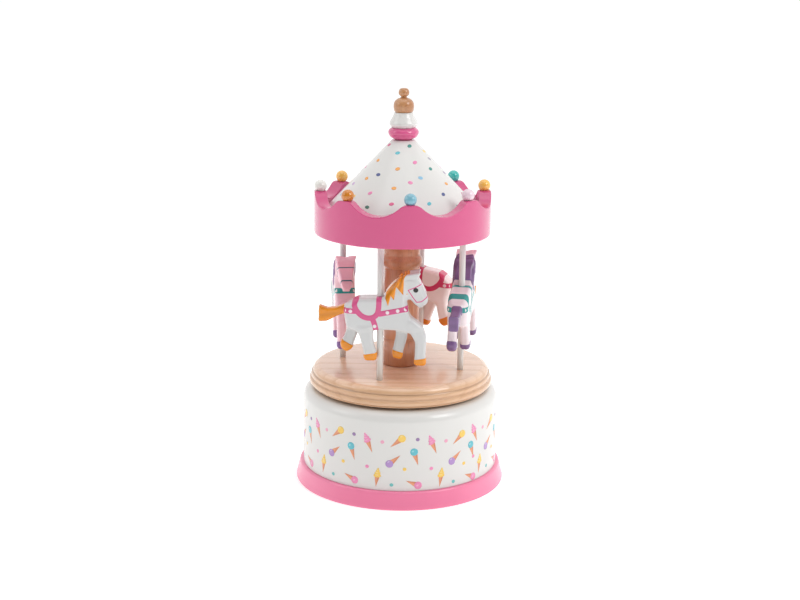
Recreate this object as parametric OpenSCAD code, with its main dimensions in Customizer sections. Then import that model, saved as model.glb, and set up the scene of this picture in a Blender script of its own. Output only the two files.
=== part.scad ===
// Carousel music box: a wind-up movement in a round drum turns a canopied carousel of four horses.
// Millimetres. The origin is the centre of the underside, +Z is up, and the first pole stands at -Y.

/* [Base] */
// Radius of the base ring where it meets the table
base_r = 55; // [52:0.5:60]
// Height of the base ring
base_h = 8.9; // [8:0.1:11]
// Outer radius of the drum
drum_r = 51; // [50:0.5:52]
// Height of the drum's top face above the table
drum_top = 49.6; // [49.2:0.1:50]
// Radius of the drum's rounded shoulder
shoulder_r = 5.5; // [3:0.5:6]
// Thickness of the drum's side wall
drum_wall = 4.5; // [3.5:0.5:5]

/* [Turntable] */
// Largest radius of the turntable
table_r = 47.8; // [46:0.2:49]
// Height of the turntable's underside
table_bottom = 51; // [51:0.1:51.4]
// Height of the turntable's top face
table_top = 61; // [60.5:0.1:62]

/* [Column and poles] */
// Radius of the column's shaft
column_r = 9.2; // [8:0.1:10]
// Radius of the bead near the column's top
column_bead_r = 10.5; // [10:0.1:12]
// Radius of a pole
pole_r = 1.6; // [1.2:0.1:2]
// Distance from the axis to each pole
pole_ring_r = 32.6; // [31:0.1:34]

/* [Canopy] */
// Height of the crown's lower edge
canopy_bottom = 131.3; // [129:0.1:134]
// Outer radius of the crown
crown_r = 45.2; // [44:0.1:46]
// Thickness of the crown's wall
crown_wall = 6.5; // [5:0.1:7]
// Height of the crown from its lower edge to its peaks
crown_h = 21.6; // [20:0.1:23]
// Depth of the scallops between the peaks
scallop_h = 6.3; // [5.6:0.1:8]
// Angle from the first pole to the first peak of the crown
crown_turn = 24; // [0:1:44]
// Radius of the beads on the peaks
bead_r = 3.15; // [2.8:0.05:3.4]

/* [Roof] */
// Height of the roof's flat top
roof_top = 178.8; // [176:0.1:181]
// Height of the roof's lower edge
roof_edge = 144.4; // [143:0.1:145.5]
// Radius of the roof's flat top
roof_top_r = 5.8; // [5:0.1:7]

/* [Horses] */
// Height of the lowest hoof above the turntable
hoof_gap = 9; // [6:0.5:12]
// Thickness of a horse across its body
horse_w = 10.4; // [9:0.1:11]
// Thickness of one leg
leg_w = 4.8; // [4:0.1:5]
// Turn of the front horse about its pole, nose inwards
front_turn = 17; // [0:1:30]
// Turn of the right horse about its pole, nose inwards
right_turn = 9; // [0:1:30]
// Turn of the back horse about its pole, nose inwards
back_turn = 4; // [0:1:30]
// Turn of the left horse about its pole, nose inwards
left_turn = 26; // [0:1:30]
// Nose-up tilt of the right, back and left horses; the front one stands level
tilt = 7; // [0:0.5:10]
// Extra height of the right horse on its pole
right_lift = 1; // [-1:0.5:3]
// Extra height of the back horse on its pole
back_lift = 1.5; // [-1:0.5:3]
// Extra height of the left horse on its pole
left_lift = -0.5; // [-1:0.5:3]

/* [Movement] */
// Module of the drive wheel and the cylinder's pinion
drive_module = 0.6; // [0.6:0.1:0.6]
// Module of the wheels that drive the governor
fine_module = 0.35; // [0.35:0.05:0.35]
// Radius of the music cylinder
cylinder_r = 6.5; // [6:0.1:6.5]
// Length of the music cylinder
cylinder_len = 16; // [16:1:16]
// Number of teeth of the comb
comb_teeth = 18; // [12:1:18]

/* [Hidden] */
$fn = 72;
eps = 0.01;

// Teeth: the drive wheel turns the pinion, and the end wheel turns the second pinion, worm wheel and worm
drive_teeth = 48;
pinion_teeth = 16;
end_teeth = 40;
second_teeth = 10;
worm_teeth = 24;

bead_count = 8;
drum_in_r = drum_r - drum_wall;
plate_top = drum_top - 5.6;
plate_bottom = plate_top - 2.5;
shaft_z = plate_bottom - 8.5;
run_gap = 0.05;

// Radii of the pitch circles
drive_r = drive_module * drive_teeth / 2;
pinion_r = drive_module * pinion_teeth / 2;
end_r = fine_module * end_teeth / 2;
second_r = fine_module * second_teeth / 2;
worm_wheel_r = fine_module * worm_teeth / 2;
worm_r = 1.15;

// Places along the cylinder's shaft, measured from the arbor's axis
pinion_x = 13.1;
pinion_w = 2.4;
post_w = 1.2;
left_post_x = 15.9;
cylinder_x = 17.5;
end_wheel_x = cylinder_x + cylinder_len;
end_wheel_w = 1.5;
worm_wheel_x = 36;
worm_wheel_w = 1.2;
right_post_x = 38.2;
inner_post_x = 31.4;
second_y = end_r + second_r;
worm_x = worm_wheel_x + worm_wheel_w / 2;
worm_y = second_y + worm_wheel_r + worm_r;

arbor_r = 2;
pivot_r = 0.5;
shaft_r = 1;
screw_r = 1.3;
pillar_x = -13;
pillar_y = 13;
housing_r = 12.2;
housing_h = 10.5;
housing_wall = 0.8;
housing_top = plate_bottom - 4.7;
housing_bottom = housing_top - housing_wall - housing_h;
hub_r = 3.2;
head_h = 1.2;
comb_h = 1;
comb_w = cylinder_len - 0.6;
comb_back_y = -24;
comb_screw_x = [4, 11.5];
comb_screw_y = -20.5;
track_w = comb_w / comb_teeth;
governor_post_x = 28.4;
plate_screws = [[-8, 20], [-8, -20], [17, 20.5]];

table_h = table_top - table_bottom;
tenon_r = 5;
tenon_h = 3;
insert_r = 4;
insert_h = 6;
flange_r = 6;
flange_h = 0.8;
board_h = 4;
board_r = crown_r - crown_wall;
ring_in_r = 38;
cover_r = 42;
cover_h = 2.4;
cover_gap = 0.3;
cover_screw_ring_r = 40;
cover_screw_r = 0.9;
cover_head_r = 2;
screw_play = 0.1;
cover_hole_r = cover_screw_r + screw_play;
pole_sink = 6;
pole_top_sink = 3;
horse_z = table_top + hoof_gap;
crown_top = canopy_bottom + crown_h;
finial_pin_r = 1.5;

pine = "burlywood";
pink = "hotpink";
steel = "silver";

// Cuts the corners of a closed outline n times, which rounds it
function rounded(p, n) = n == 0 ? p : rounded([
    for (i = [0:len(p) - 1])
        let (a = p[i], b = p[(i + 1) % len(p)])
            each [a * 0.75 + b * 0.25, a * 0.25 + b * 0.75]
], n - 1);

// The same for an open line, whose two ends stay where they are
function rounded_line(p, n) = n == 0 ? p : rounded_line([
    p[0],
    for (i = [0:len(p) - 2])
        each [p[i] * 0.75 + p[i + 1] * 0.25, p[i] * 0.25 + p[i + 1] * 0.75],
    p[len(p) - 1]
], n - 1);

// Points of an arc about centre c
function arc(c, r, from, to, steps = 6) = [
    for (i = [0:steps])
        let (a = from + (to - from) * i / steps)
            c + r * [cos(a), sin(a)]
];

// Outline of a spur wheel: each tooth is a tapered block, slim enough to run free at any phase
function gear_outline(teeth, pitch_r, tip, root, half_root, half_tip) = [
    for (i = [0:teeth - 1], k = [-1, 1], e = [0, 1])
        let (
            a = i * 360 / teeth,
            outer = (k < 0) == (e == 1),
            r = outer ? pitch_r + tip : pitch_r - root,
            w = outer ? half_tip : half_root,
            t = a + k * asin(w / r)
        )
            r * [cos(t), sin(t)]
];

module at_ring(angle, r = 0) {
    rotate(angle) translate([0, -r, 0]) children();
}

module along_x(x, y, z) {
    translate([x, y, z]) rotate([90, 0, 90]) children();
}

// ---- base ----

module base_ring() {
    edge = 0.8;
    top_r = base_r - 2.3;
    spigot_h = 3;
    color(pink) difference() {
        rotate_extrude($fn = 120) polygon(concat(
            [[ring_in_r, 0]],
            arc([base_r - edge, edge], edge, -90, 0, 4),
            arc([top_r - edge, base_h - edge], edge, 10, 90, 4),
            [[drum_in_r - 0.2, base_h], [drum_in_r - 0.2, base_h + spigot_h], [ring_in_r, base_h + spigot_h]]
        ));
        translate([0, 0, -eps]) cylinder(r = cover_r + 0.2, h = cover_h + cover_gap + eps);
        for (a = [45:90:315])
            at_ring(a, cover_screw_ring_r) cylinder(r = cover_screw_r, h = base_h);
    }
}

module drum_shell() {
    hole_r = 3.5;
    color("white") rotate_extrude($fn = 120) polygon(concat(
        [[drum_in_r, base_h], [drum_r, base_h]],
        arc([drum_r - shoulder_r, drum_top - shoulder_r], shoulder_r, 0, 90, 8),
        [[hole_r, drum_top], [hole_r, plate_top], [drum_in_r, plate_top]]
    ));
}

module bottom_cover() {
    color("tan") difference() {
        translate([0, 0, cover_gap]) cylinder(r = cover_r, h = cover_h, $fn = 120);
        for (a = [45:90:315])
            at_ring(a, cover_screw_ring_r) translate([0, 0, cover_gap - eps]) {
                cylinder(r = cover_hole_r, h = cover_h + 1);
                cylinder(r1 = cover_head_r + screw_play, r2 = cover_hole_r, h = 1 + screw_play);
            }
        for (a = [0:60:300])
            at_ring(a, 14) cylinder(r = 2.5, h = 5);
        cylinder(r = 2.5, h = 5);
    }
}

module cover_screws() {
    color(steel) for (a = [45:90:315])
        at_ring(a, cover_screw_ring_r) translate([0, 0, cover_gap]) {
            cylinder(r1 = cover_head_r, r2 = cover_screw_r, h = 1);
            cylinder(r = cover_screw_r, h = 7);
        }
}

module thrust_washer() {
    color("ivory") difference() {
        translate([0, 0, drum_top]) cylinder(r = 8, h = 1.2);
        translate([0, 0, drum_top - 1]) cylinder(r = 3, h = 4);
    }
}

// ---- movement, fixed parts ----

module post(x, y, w_y, bore_r) {
    difference() {
        translate([x, y - w_y / 2, shaft_z - 2.2]) cube([post_w, w_y, plate_bottom - shaft_z + 2.2 + eps]);
        along_x(x - 1, y, shaft_z) cylinder(r = bore_r, h = post_w + 2);
    }
}

module movement_bedplate() {
    color("gainsboro") union() {
        difference() {
            intersection() {
                translate([-18, -25, plate_bottom]) cube([63, 50, plate_top - plate_bottom]);
                translate([0, 0, plate_bottom]) cylinder(r = 44.5, h = 3, $fn = 120);
            }
            translate([0, 0, plate_bottom - 1]) cylinder(r = arbor_r + run_gap, h = 5);
            for (p = plate_screws)
                translate([p[0], p[1], plate_bottom - 1]) cylinder(r = screw_r + 0.2, h = 5);
            translate([worm_x, worm_y, plate_bottom - 1]) cylinder(r = pivot_r + run_gap, h = 2.4);
        }
        for (s = [-1, 1])
            translate([pillar_x, s * pillar_y, housing_top])
                cylinder(r = 2, h = plate_bottom - housing_top + eps);
        translate([cylinder_x - 0.7, comb_back_y, shaft_z + comb_h / 2])
            cube([comb_w + 1.4, 6.5, plate_bottom - shaft_z - comb_h / 2 + eps]);
        post(left_post_x, 0, 5, shaft_r + run_gap);
        post(right_post_x, 0, 5, shaft_r + run_gap);
        post(right_post_x, second_y, 5, pivot_r + run_gap);
        post(inner_post_x, second_y, 2.6, pivot_r + run_gap);
    }
}

module movement_screws() {
    color(steel) for (p = plate_screws)
        translate([p[0], p[1], plate_bottom - 1.4]) {
            difference() {
                cylinder(r = 2.4, h = 1.4);
                translate([-3, -0.3, -0.5]) cube([6, 0.6, 1]);
            }
            cylinder(r = screw_r, h = 7);
        }
}

module spring_housing() {
    color(steel) difference() {
        translate([0, 0, housing_bottom]) cylinder(r = housing_r, h = housing_h);
        translate([0, 0, housing_bottom + housing_wall])
            cylinder(r = housing_r - housing_wall, h = housing_h);
        translate([0, 0, housing_bottom - 1]) cylinder(r = arbor_r + run_gap, h = 3);
    }
}

module spring_housing_lid() {
    ear_r = 3;
    color(steel) difference() {
        translate([0, 0, housing_top - housing_wall]) union() {
            cylinder(r = housing_r, h = housing_wall);
            for (s = [-1, 1]) {
                translate([pillar_x, s * pillar_y, 0]) cylinder(r = ear_r, h = housing_wall);
                translate([pillar_x, s * pillar_y, 0]) rotate(-s * 45)
                    translate([0, -ear_r, 0]) cube([pillar_y, 2 * ear_r, housing_wall]);
            }
        }
        translate([0, 0, housing_top - 2]) cylinder(r = arbor_r + run_gap, h = 3);
        for (s = [-1, 1])
            translate([pillar_x, s * pillar_y, housing_top - 2]) cylinder(r = screw_r, h = 3);
    }
}

module housing_screws() {
    color(steel) for (s = [-1, 1])
        translate([pillar_x, s * pillar_y, housing_top - housing_wall - head_h]) {
            cylinder(r = 2.2, h = head_h);
            cylinder(r = screw_r - 0.1, h = 5);
        }
}

module mainspring() {
    turns = 6;
    steps = 20;
    strip = 0.35;
    inner = hub_r + 0.5;
    outer = housing_r - 1.4;
    radii = [for (i = [0:turns * steps]) inner + (outer - inner) * i / (turns * steps)];
    way = [for (i = [0:turns * steps]) let (a = i * 360 / steps) [cos(a), sin(a)]];
    edge = [for (i = [0:turns * steps]) way[i] * radii[i]];
    back = [for (i = [turns * steps:-1:0]) way[i] * (radii[i] + strip)];
    color("slategray") translate([0, 0, housing_bottom + housing_wall + 0.9])
        linear_extrude(housing_h - 3) polygon(concat(edge, back));
}

module comb() {
    tip_y = -(cylinder_r + 0.5);
    reach = 10.5;
    slit_w = 0.2;
    color(steel) difference() {
        translate([cylinder_x, comb_back_y, shaft_z - comb_h / 2])
            cube([comb_w, tip_y - comb_back_y, comb_h]);
        for (i = [1:comb_teeth - 1])
            translate([cylinder_x + track_w * i - slit_w / 2, tip_y - reach, shaft_z - comb_h])
                translate([0, 3 * i / comb_teeth, 0]) cube([slit_w, reach, 2 * comb_h]);
        for (x = comb_screw_x)
            translate([cylinder_x + x, comb_screw_y, shaft_z - comb_h]) cylinder(r = screw_r, h = 2 * comb_h);
    }
}

module comb_screws() {
    color(steel) for (x = comb_screw_x)
        translate([cylinder_x + x, comb_screw_y, shaft_z - comb_h / 2 - head_h]) {
            cylinder(r = 2.2, h = head_h);
            cylinder(r = screw_r - 0.1, h = 6);
        }
}

module governor_bracket() {
    arm_z = shaft_z - 10.4;
    post_x = governor_post_x;
    color("goldenrod") difference() {
        union() {
            translate([post_x - 4.6, worm_y - 1.6, plate_bottom - 1.2]) cube([7, 5, 1.2]);
            translate([post_x, worm_y - 1.2, arm_z]) cube([2.4, 2.4, plate_bottom - arm_z]);
            translate([post_x, worm_y - 1.2, arm_z]) cube([worm_x - post_x, 2.4, 1.2]);
            translate([worm_x, worm_y, arm_z]) cylinder(r = 1.6, h = 1.2);
        }
        translate([worm_x, worm_y, arm_z - 1]) cylinder(r = pivot_r + run_gap, h = 3);
        translate([post_x - 2.6, worm_y + 1, plate_bottom - 2]) cylinder(r = 1, h = 3);
    }
}

module governor_screw() {
    color(steel) translate([governor_post_x - 2.6, worm_y + 1, plate_bottom - 1.2 - 1]) {
        cylinder(r = 1.8, h = 1);
        cylinder(r = 0.95, h = 3.6);
    }
}

// ---- movement, turning parts ----

module drive_arbor() {
    color(steel) union() {
        translate([0, 0, housing_bottom - 0.8])
            cylinder(r = arbor_r, h = table_bottom + insert_h - housing_bottom + 0.8);
        translate([0, 0, housing_bottom + 1.4]) cylinder(r = hub_r, h = housing_h - 2.2);
    }
}

module drive_wheel() {
    rim_z = shaft_z + pinion_r + 0.8;
    tip_z = shaft_z + pinion_r - drive_module;
    tooth_h = rim_z - tip_z + 0.1;
    color("gold") difference() {
        union() {
            translate([0, 0, rim_z]) cylinder(r = drive_r + 1.2, h = 1.8);
            translate([0, 0, housing_top + 0.2]) cylinder(r = 4, h = plate_bottom - housing_top - 0.5);
            for (i = [0:drive_teeth - 1])
                rotate((i + 0.5) * 360 / drive_teeth) translate([drive_r - 1.3, 0, tip_z])
                    rotate([90, 0, 90]) linear_extrude(2.5)
                        polygon([[-0.18, 0], [0.18, 0], [0.27, tooth_h], [-0.27, tooth_h]]);
        }
        translate([0, 0, housing_top - 1]) cylinder(r = arbor_r, h = 10);
        for (a = [30:60:330])
            at_ring(a, 8.2) translate([0, 0, rim_z - 1]) cylinder(r = 2.4, h = 4);
    }
}

module threaded_insert() {
    color("gold") difference() {
        translate([0, 0, table_bottom]) union() {
            cylinder(r = insert_r, h = insert_h);
            cylinder(r = flange_r, h = flange_h);
        }
        translate([0, 0, table_bottom - 1]) cylinder(r = arbor_r, h = 9);
    }
}

module cylinder_shaft() {
    color(steel) along_x(pinion_x - 0.3, 0, shaft_z)
        cylinder(r = shaft_r, h = right_post_x + post_w - pinion_x);
}

module music_cylinder() {
    pins = 4;
    color("gold") difference() {
        union() {
            along_x(cylinder_x, 0, shaft_z) cylinder(r = cylinder_r, h = cylinder_len);
            for (i = [0:comb_teeth - 1], k = [0:pins - 1])
                translate([cylinder_x + track_w * (i + 0.5), 0, shaft_z])
                    rotate([137.5 * i + 90 * k + 23 * (i % 4) * k, 0, 0])
                        cylinder(r = 0.18, h = cylinder_r + 0.3, $fn = 13);
        }
        along_x(cylinder_x - 1, 0, shaft_z) cylinder(r = shaft_r, h = cylinder_len + 2);
        along_x(cylinder_x - 1, 0, shaft_z) cylinder(r = cylinder_r - 1, h = cylinder_len - 1);
    }
}

module cylinder_pinion() {
    outline = gear_outline(pinion_teeth, pinion_r, drive_module, 0.75, 0.42, 0.2);
    color("gold") difference() {
        along_x(pinion_x, 0, shaft_z) linear_extrude(pinion_w) rotate(90) polygon(outline);
        along_x(pinion_x - 1, 0, shaft_z) cylinder(r = shaft_r, h = pinion_w + 2);
    }
}

module cylinder_end_wheel() {
    outline = gear_outline(end_teeth, end_r, fine_module, 0.44, 0.25, 0.1);
    color("white") difference() {
        along_x(end_wheel_x, 0, shaft_z) linear_extrude(end_wheel_w) polygon(outline);
        along_x(end_wheel_x - 1, 0, shaft_z) cylinder(r = shaft_r, h = end_wheel_w + 2);
    }
}

module second_shaft() {
    color(steel) along_x(inner_post_x, second_y, shaft_z)
        cylinder(r = pivot_r, h = right_post_x + post_w - inner_post_x);
}

module second_pinion() {
    outline = gear_outline(second_teeth, second_r, fine_module, 0.44, 0.22, 0.1);
    color("gold") difference() {
        along_x(end_wheel_x, second_y, shaft_z) linear_extrude(end_wheel_w)
            rotate(180 + 180 / second_teeth) polygon(outline);
        along_x(end_wheel_x - 1, second_y, shaft_z) cylinder(r = pivot_r, h = end_wheel_w + 2);
    }
}

module worm_wheel() {
    outline = gear_outline(worm_teeth, worm_wheel_r, fine_module, 0.44, 0.2, 0.1);
    color("white") difference() {
        along_x(worm_wheel_x, second_y, shaft_z) linear_extrude(worm_wheel_w) polygon(outline);
        along_x(worm_wheel_x - 1, second_y, shaft_z) cylinder(r = pivot_r, h = worm_wheel_w + 2);
    }
}

// The thread is one lobe of the cross-section, twisted right-handed; its gap faces the wheel at shaft_z
module worm_shaft() {
    lead = 2 * PI * worm_wheel_r / worm_teeth;
    turns = 6;
    start = shaft_z - lead * turns / 2;
    foot_z = shaft_z - 10.2;
    core = worm_r - 0.44;
    lobe = 36;
    crest = 20;
    section = concat(
        arc([0, 0], core, lobe, 360 - lobe, 8),
        arc([0, 0], worm_r + 0.3, -crest, crest, 2)
    );
    color(steel) union() {
        translate([worm_x, worm_y, start])
            rotate(90 - 180 * turns)
                linear_extrude(lead * turns, twist = -360 * turns, slices = 18 * turns, $fn = 16)
                    polygon(section);
        translate([worm_x, worm_y, foot_z]) cylinder(r = pivot_r, h = plate_bottom + 1.1 - foot_z);
    }
}

module governor_fly() {
    bottom = shaft_z - 8.6;
    color("ivory") difference() {
        translate([worm_x, worm_y, bottom]) union() {
            cylinder(r = 1.3, h = 4.2);
            for (s = [0, 180])
                rotate(s) translate([0.8, -0.3, 0.3]) cube([4, 0.6, 3.6]);
        }
        translate([worm_x, worm_y, bottom - 1]) cylinder(r = pivot_r, h = 8);
    }
}

// ---- carousel ----

// Three stepped beads round the turntable's edge, each a little wider than the one above
module turntable() {
    t = table_top;
    b = table_bottom;
    h = table_h / 10;
    outline = concat(
        [[0, b], [table_r - 1.6, b]],
        arc([table_r - 1.7, b + 2 * h], 1.7, -80, 55, 6),
        [[table_r - 1.1, b + 4.1 * h]],
        arc([table_r - 2.4, b + 5.4 * h], 1.4, -30, 60, 5),
        [[table_r - 2.3, b + 7 * h]],
        arc([table_r - 5, b + 7 * h], 3, 8, 78, 5),
        [[table_r - 4.6, t], [0, t]]
    );
    color(pine) difference() {
        rotate_extrude($fn = 120) polygon(outline);
        translate([0, 0, t - tenon_h]) cylinder(r = tenon_r, h = tenon_h + 1);
        translate([0, 0, b - 1]) cylinder(r = insert_r, h = insert_h + 1);
        translate([0, 0, b - 1]) cylinder(r = flange_r, h = flange_h + 1);
        for (a = [0:90:270])
            at_ring(a, pole_ring_r) translate([0, 0, t - pole_sink]) cylinder(r = pole_r, h = pole_sink + 1);
    }
}

module column() {
    foot = table_top;
    head = canopy_bottom;
    groove = foot + 14.3;
    bead = foot + 52;
    outline = concat(
        [[0, foot - tenon_h], [tenon_r, foot - tenon_h], [tenon_r, foot]],
        [[column_r - 0.5, foot], [column_r, foot + 0.5]],
        [[column_r, groove - 0.5], [column_r - 0.5, groove], [column_r + 0.1, groove + 0.5]],
        rounded_line([
            [column_r, bead - 0.3], [column_r, bead], [column_bead_r - 0.6, bead + 1.2],
            [column_bead_r + 0.3, bead + 4.6], [column_r + 0.7, bead + 6.4], [column_r, bead + 6.6]
        ], 2),
        [[column_r + 0.2, bead + 7], [column_r + 0.2, head]],
        [[tenon_r, head], [tenon_r, head + tenon_h], [0, head + tenon_h]]
    );
    color("peru") rotate_extrude() polygon(outline);
}

module pole(a) {
    color("whitesmoke") at_ring(a, pole_ring_r) translate([0, 0, table_top - pole_sink])
        cylinder(r = pole_r, h = canopy_bottom + pole_top_sink - table_top + pole_sink);
}

// Side view of a horse: x forwards from the pole, y up from the lowest hoof
head_and_body = [
    [-18, 27], [-17.4, 22.5], [-16.5, 18.5], [-11, 16.5], [-4, 18.4], [8, 18.4], [14, 16.5],
    [21.5, 19.5], [19, 21.5], [15.5, 24], [14, 27], [13.7, 33], [15, 33.4], [17.6, 30.6],
    [20, 29.9], [22.8, 31], [23.6, 33.5], [22.6, 37.5], [20.2, 42], [19, 44], [19.6, 46.6],
    [13, 46], [8.5, 44], [5, 39.4], [1.6, 34.2], [-10, 33.4], [-14.2, 32.4], [-17.4, 30]
];
hind_left_leg = [
    [-16.5, 20], [-17.5, 14.5], [-20, 9.5], [-19.4, 7], [-17, 5.2], [-14.2, 7], [-11.8, 14], [-10, 20]
];
hind_right_leg = [
    [-12, 20], [-10, 14.5], [-8, 6.5], [-7.4, 3.1], [-2, 3], [-1.4, 5.4], [-3.2, 12.2], [-3.6, 20]
];
fore_left_leg = [[7.4, 20], [8, 14.5], [6.2, 5.4], [6.6, 3], [10.8, 2], [11.3, 5], [13.6, 13], [14, 20]];
fore_right_leg = [
    [13, 22], [15.2, 16.6], [17.8, 12], [17.6, 0.8], [23, 0.7], [23, 5], [23.4, 15], [21.8, 19.4], [16, 24]
];
tail = [
    [-16, 31], [-22, 28.6], [-26.5, 28.2], [-30.2, 29], [-30.2, 22], [-26.7, 21.8], [-22.4, 24], [-16, 27]
];

module slab(outline, from, width) {
    translate([0, from + width, 0]) rotate([90, 0, 0]) linear_extrude(width) polygon(rounded(outline, 2));
}

module horse(a, turn, rise, lift, coat) {
    side = horse_w / 2;
    tail_w = 5;
    tip_h = 30; // height above the lowest hoof of the point the horse is tilted about
    color(coat) at_ring(a, pole_ring_r) rotate(turn) translate([0, 0, horse_z + lift]) difference() {
        translate([0, 0, tip_h]) rotate([0, -rise, 0]) translate([0, 0, -tip_h]) {
            slab(head_and_body, -side, horse_w);
            slab(hind_left_leg, side - leg_w, leg_w);
            slab(fore_left_leg, side - leg_w, leg_w);
            slab(hind_right_leg, -side, leg_w);
            slab(fore_right_leg, -side, leg_w);
            slab(tail, -tail_w / 2, tail_w);
        }
        translate([0, 0, -hoof_gap]) cylinder(r = pole_r, h = hoof_gap + 50);
    }
}

// ---- canopy ----

module canopy_board() {
    color(pink) difference() {
        translate([0, 0, canopy_bottom]) cylinder(r = board_r, h = board_h, $fn = 120);
        translate([0, 0, canopy_bottom - 1]) cylinder(r = tenon_r, h = tenon_h + 1);
        for (a = [0:90:270])
            at_ring(a, pole_ring_r) translate([0, 0, canopy_bottom - 1])
                cylinder(r = pole_r, h = pole_top_sink + 1);
    }
}

// One scallop between two peaks: a round dip whose sides run straight and then roll over the peaks
module scallop() {
    slope = 42;
    dip_r = 17;
    roll_r = 4.5;
    rise = scallop_h - (dip_r + roll_r) * (1 - cos(slope));
    half = (dip_r + roll_r) * sin(slope) + rise / tan(slope);
    dip = concat(
        arc([-half, scallop_h - roll_r], roll_r, 90, 90 - slope, 5),
        arc([0, dip_r], dip_r, 270 - slope, 270 + slope, 20),
        arc([half, scallop_h - roll_r], roll_r, 90 + slope, 90, 5)
    );
    translate([0, -board_r + 2, crown_top - scallop_h]) rotate([90, 0, 0])
        linear_extrude(crown_wall + 4) polygon(concat(dip, [[half, scallop_h + 1], [-half, scallop_h + 1]]));
}

module crown_ring() {
    color(pink) difference() {
        rotate_extrude($fn = 120) polygon([
            [board_r, canopy_bottom], [crown_r, canopy_bottom], [crown_r, crown_top], [board_r, crown_top]
        ]);
        for (i = [0:bead_count - 1])
            rotate(crown_turn + (i + 0.5) * 360 / bead_count) scallop();
    }
}

module crown_bead(i) {
    shades = [
        "skyblue", "mistyrose", "orange", "mediumturquoise", "skyblue", "orange", "white", "darkorange"
    ];
    at_ring(crown_turn + i * 360 / bead_count, crown_r - crown_wall / 2)
        color(shades[i]) difference() {
            translate([0, 0, crown_top + 2.3]) sphere(r = bead_r);
            translate([-5, -5, crown_top - 5]) cube([10, 10, 5]);
        }
}

module roof_cone() {
    edge_r = board_r - 0.2;
    wall = 5;
    foot = canopy_bottom + board_h;
    color("white") difference() {
        rotate_extrude($fn = 120) polygon([
            [0, roof_top], [roof_top_r, roof_top], [edge_r, roof_edge], [edge_r, foot], [edge_r - wall, foot],
            [edge_r - wall, roof_edge - 2], [roof_top_r, roof_top - 9], [0, roof_top - 9]
        ]);
        translate([0, 0, roof_top - 6]) cylinder(r = finial_pin_r, h = 7);
    }
}

// A turned piece from its outline, with a blind hole for the dowel
module turned(line, bore_h, bottom) {
    difference() {
        rotate_extrude()
            polygon(concat([[0, line[0][1]]], rounded_line(line, 2), [[0, line[len(line) - 1][1]]]));
        translate([0, 0, bottom - 1]) cylinder(r = finial_pin_r, h = bore_h + 1);
    }
}

module finial_collar() {
    b = roof_top;
    color(pink) turned([
        [4.4, b], [4.6, b + 0.7], [6.6, b + 1.4], [8, b + 3.6], [6.9, b + 5.4], [6.3, b + 6.1]
    ], 8, b);
}

module finial_bell() {
    b = roof_top + 6.1;
    color("white") turned([
        [5.8, b], [6.4, b + 0.8], [7.3, b + 2], [6.6, b + 3.6], [5.3, b + 5.6], [4.6, b + 7.7]
    ], 9, b);
}

module finial_cap() {
    b = roof_top + 13.8;
    color("peru") turned([
        [4.2, b], [4.7, b + 0.6], [5.1, b + 3.6], [4.1, b + 5.9], [2.2, b + 7.6],
        [2.2, b + 8.4], [2.7, b + 9.6], [1.9, b + 11.6], [0.6, b + 12.2]
    ], 6, b);
}

module finial_pin() {
    color("wheat") translate([0, 0, roof_top - 6]) cylinder(r = finial_pin_r, h = 25.8);
}

base_ring();
drum_shell();
bottom_cover();
cover_screws();
thrust_washer();
movement_bedplate();
movement_screws();
spring_housing();
spring_housing_lid();
housing_screws();
mainspring();
comb();
comb_screws();
governor_bracket();
governor_screw();
drive_arbor();
drive_wheel();
threaded_insert();
turntable();
column();
pole(0);  // pole_front
pole(90);  // pole_right
pole(180);  // pole_back
pole(270);  // pole_left
horse(0, front_turn, 0, 0, "white");  // horse_front
horse(90, right_turn, tilt, right_lift, "pink");  // horse_right
horse(180, back_turn, tilt, back_lift, "white");  // horse_back
horse(270, left_turn, tilt, left_lift, "pink");  // horse_left
canopy_board();
crown_ring();
roof_cone();
finial_collar();
finial_bell();
finial_cap();
finial_pin();
for (i = [0:bead_count - 1])
    crown_bead(i);
cylinder_shaft();
music_cylinder();
cylinder_pinion();
cylinder_end_wheel();
second_shaft();
second_pinion();
worm_wheel();
worm_shaft();
governor_fly();
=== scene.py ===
"""Carousel music box: the looks of a painted wooden wind-up toy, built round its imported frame."""

import math

import bmesh
import bpy
import numpy as np
from mathutils import Matrix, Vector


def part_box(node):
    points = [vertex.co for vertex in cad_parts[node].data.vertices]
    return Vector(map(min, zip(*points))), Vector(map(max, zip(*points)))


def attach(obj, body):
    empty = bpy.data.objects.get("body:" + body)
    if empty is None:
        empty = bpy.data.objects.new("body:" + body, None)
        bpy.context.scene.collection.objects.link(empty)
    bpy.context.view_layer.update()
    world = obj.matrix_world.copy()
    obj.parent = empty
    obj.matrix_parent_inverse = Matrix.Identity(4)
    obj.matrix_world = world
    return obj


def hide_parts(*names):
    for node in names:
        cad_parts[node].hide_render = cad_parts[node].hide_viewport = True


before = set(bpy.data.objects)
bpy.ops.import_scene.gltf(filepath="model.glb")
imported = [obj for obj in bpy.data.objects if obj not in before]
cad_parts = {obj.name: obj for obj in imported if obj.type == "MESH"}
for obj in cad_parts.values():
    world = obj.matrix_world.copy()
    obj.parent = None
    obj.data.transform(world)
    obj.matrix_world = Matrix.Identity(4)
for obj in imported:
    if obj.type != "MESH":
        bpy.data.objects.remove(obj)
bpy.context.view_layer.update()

MM = 0.001
rng = np.random.default_rng(7)


def box_mm(name):
    """Lowest and highest corner of a part, in millimetres."""
    low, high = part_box(name)
    return np.array(low) / MM, np.array(high) / MM


# ---- sizes, in millimetres, from the frame ----

BASE_HIGH = box_mm("base_ring")[1]
DRUM_HIGH = box_mm("drum_shell")[1]
TABLE_LOW, TABLE_HIGH = box_mm("turntable")
POLE_LOW, POLE_HIGH = box_mm("pole_front")
CROWN_LOW, CROWN_HIGH = box_mm("crown_ring")
ROOF_LOW, ROOF_HIGH = box_mm("roof_cone")

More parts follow.
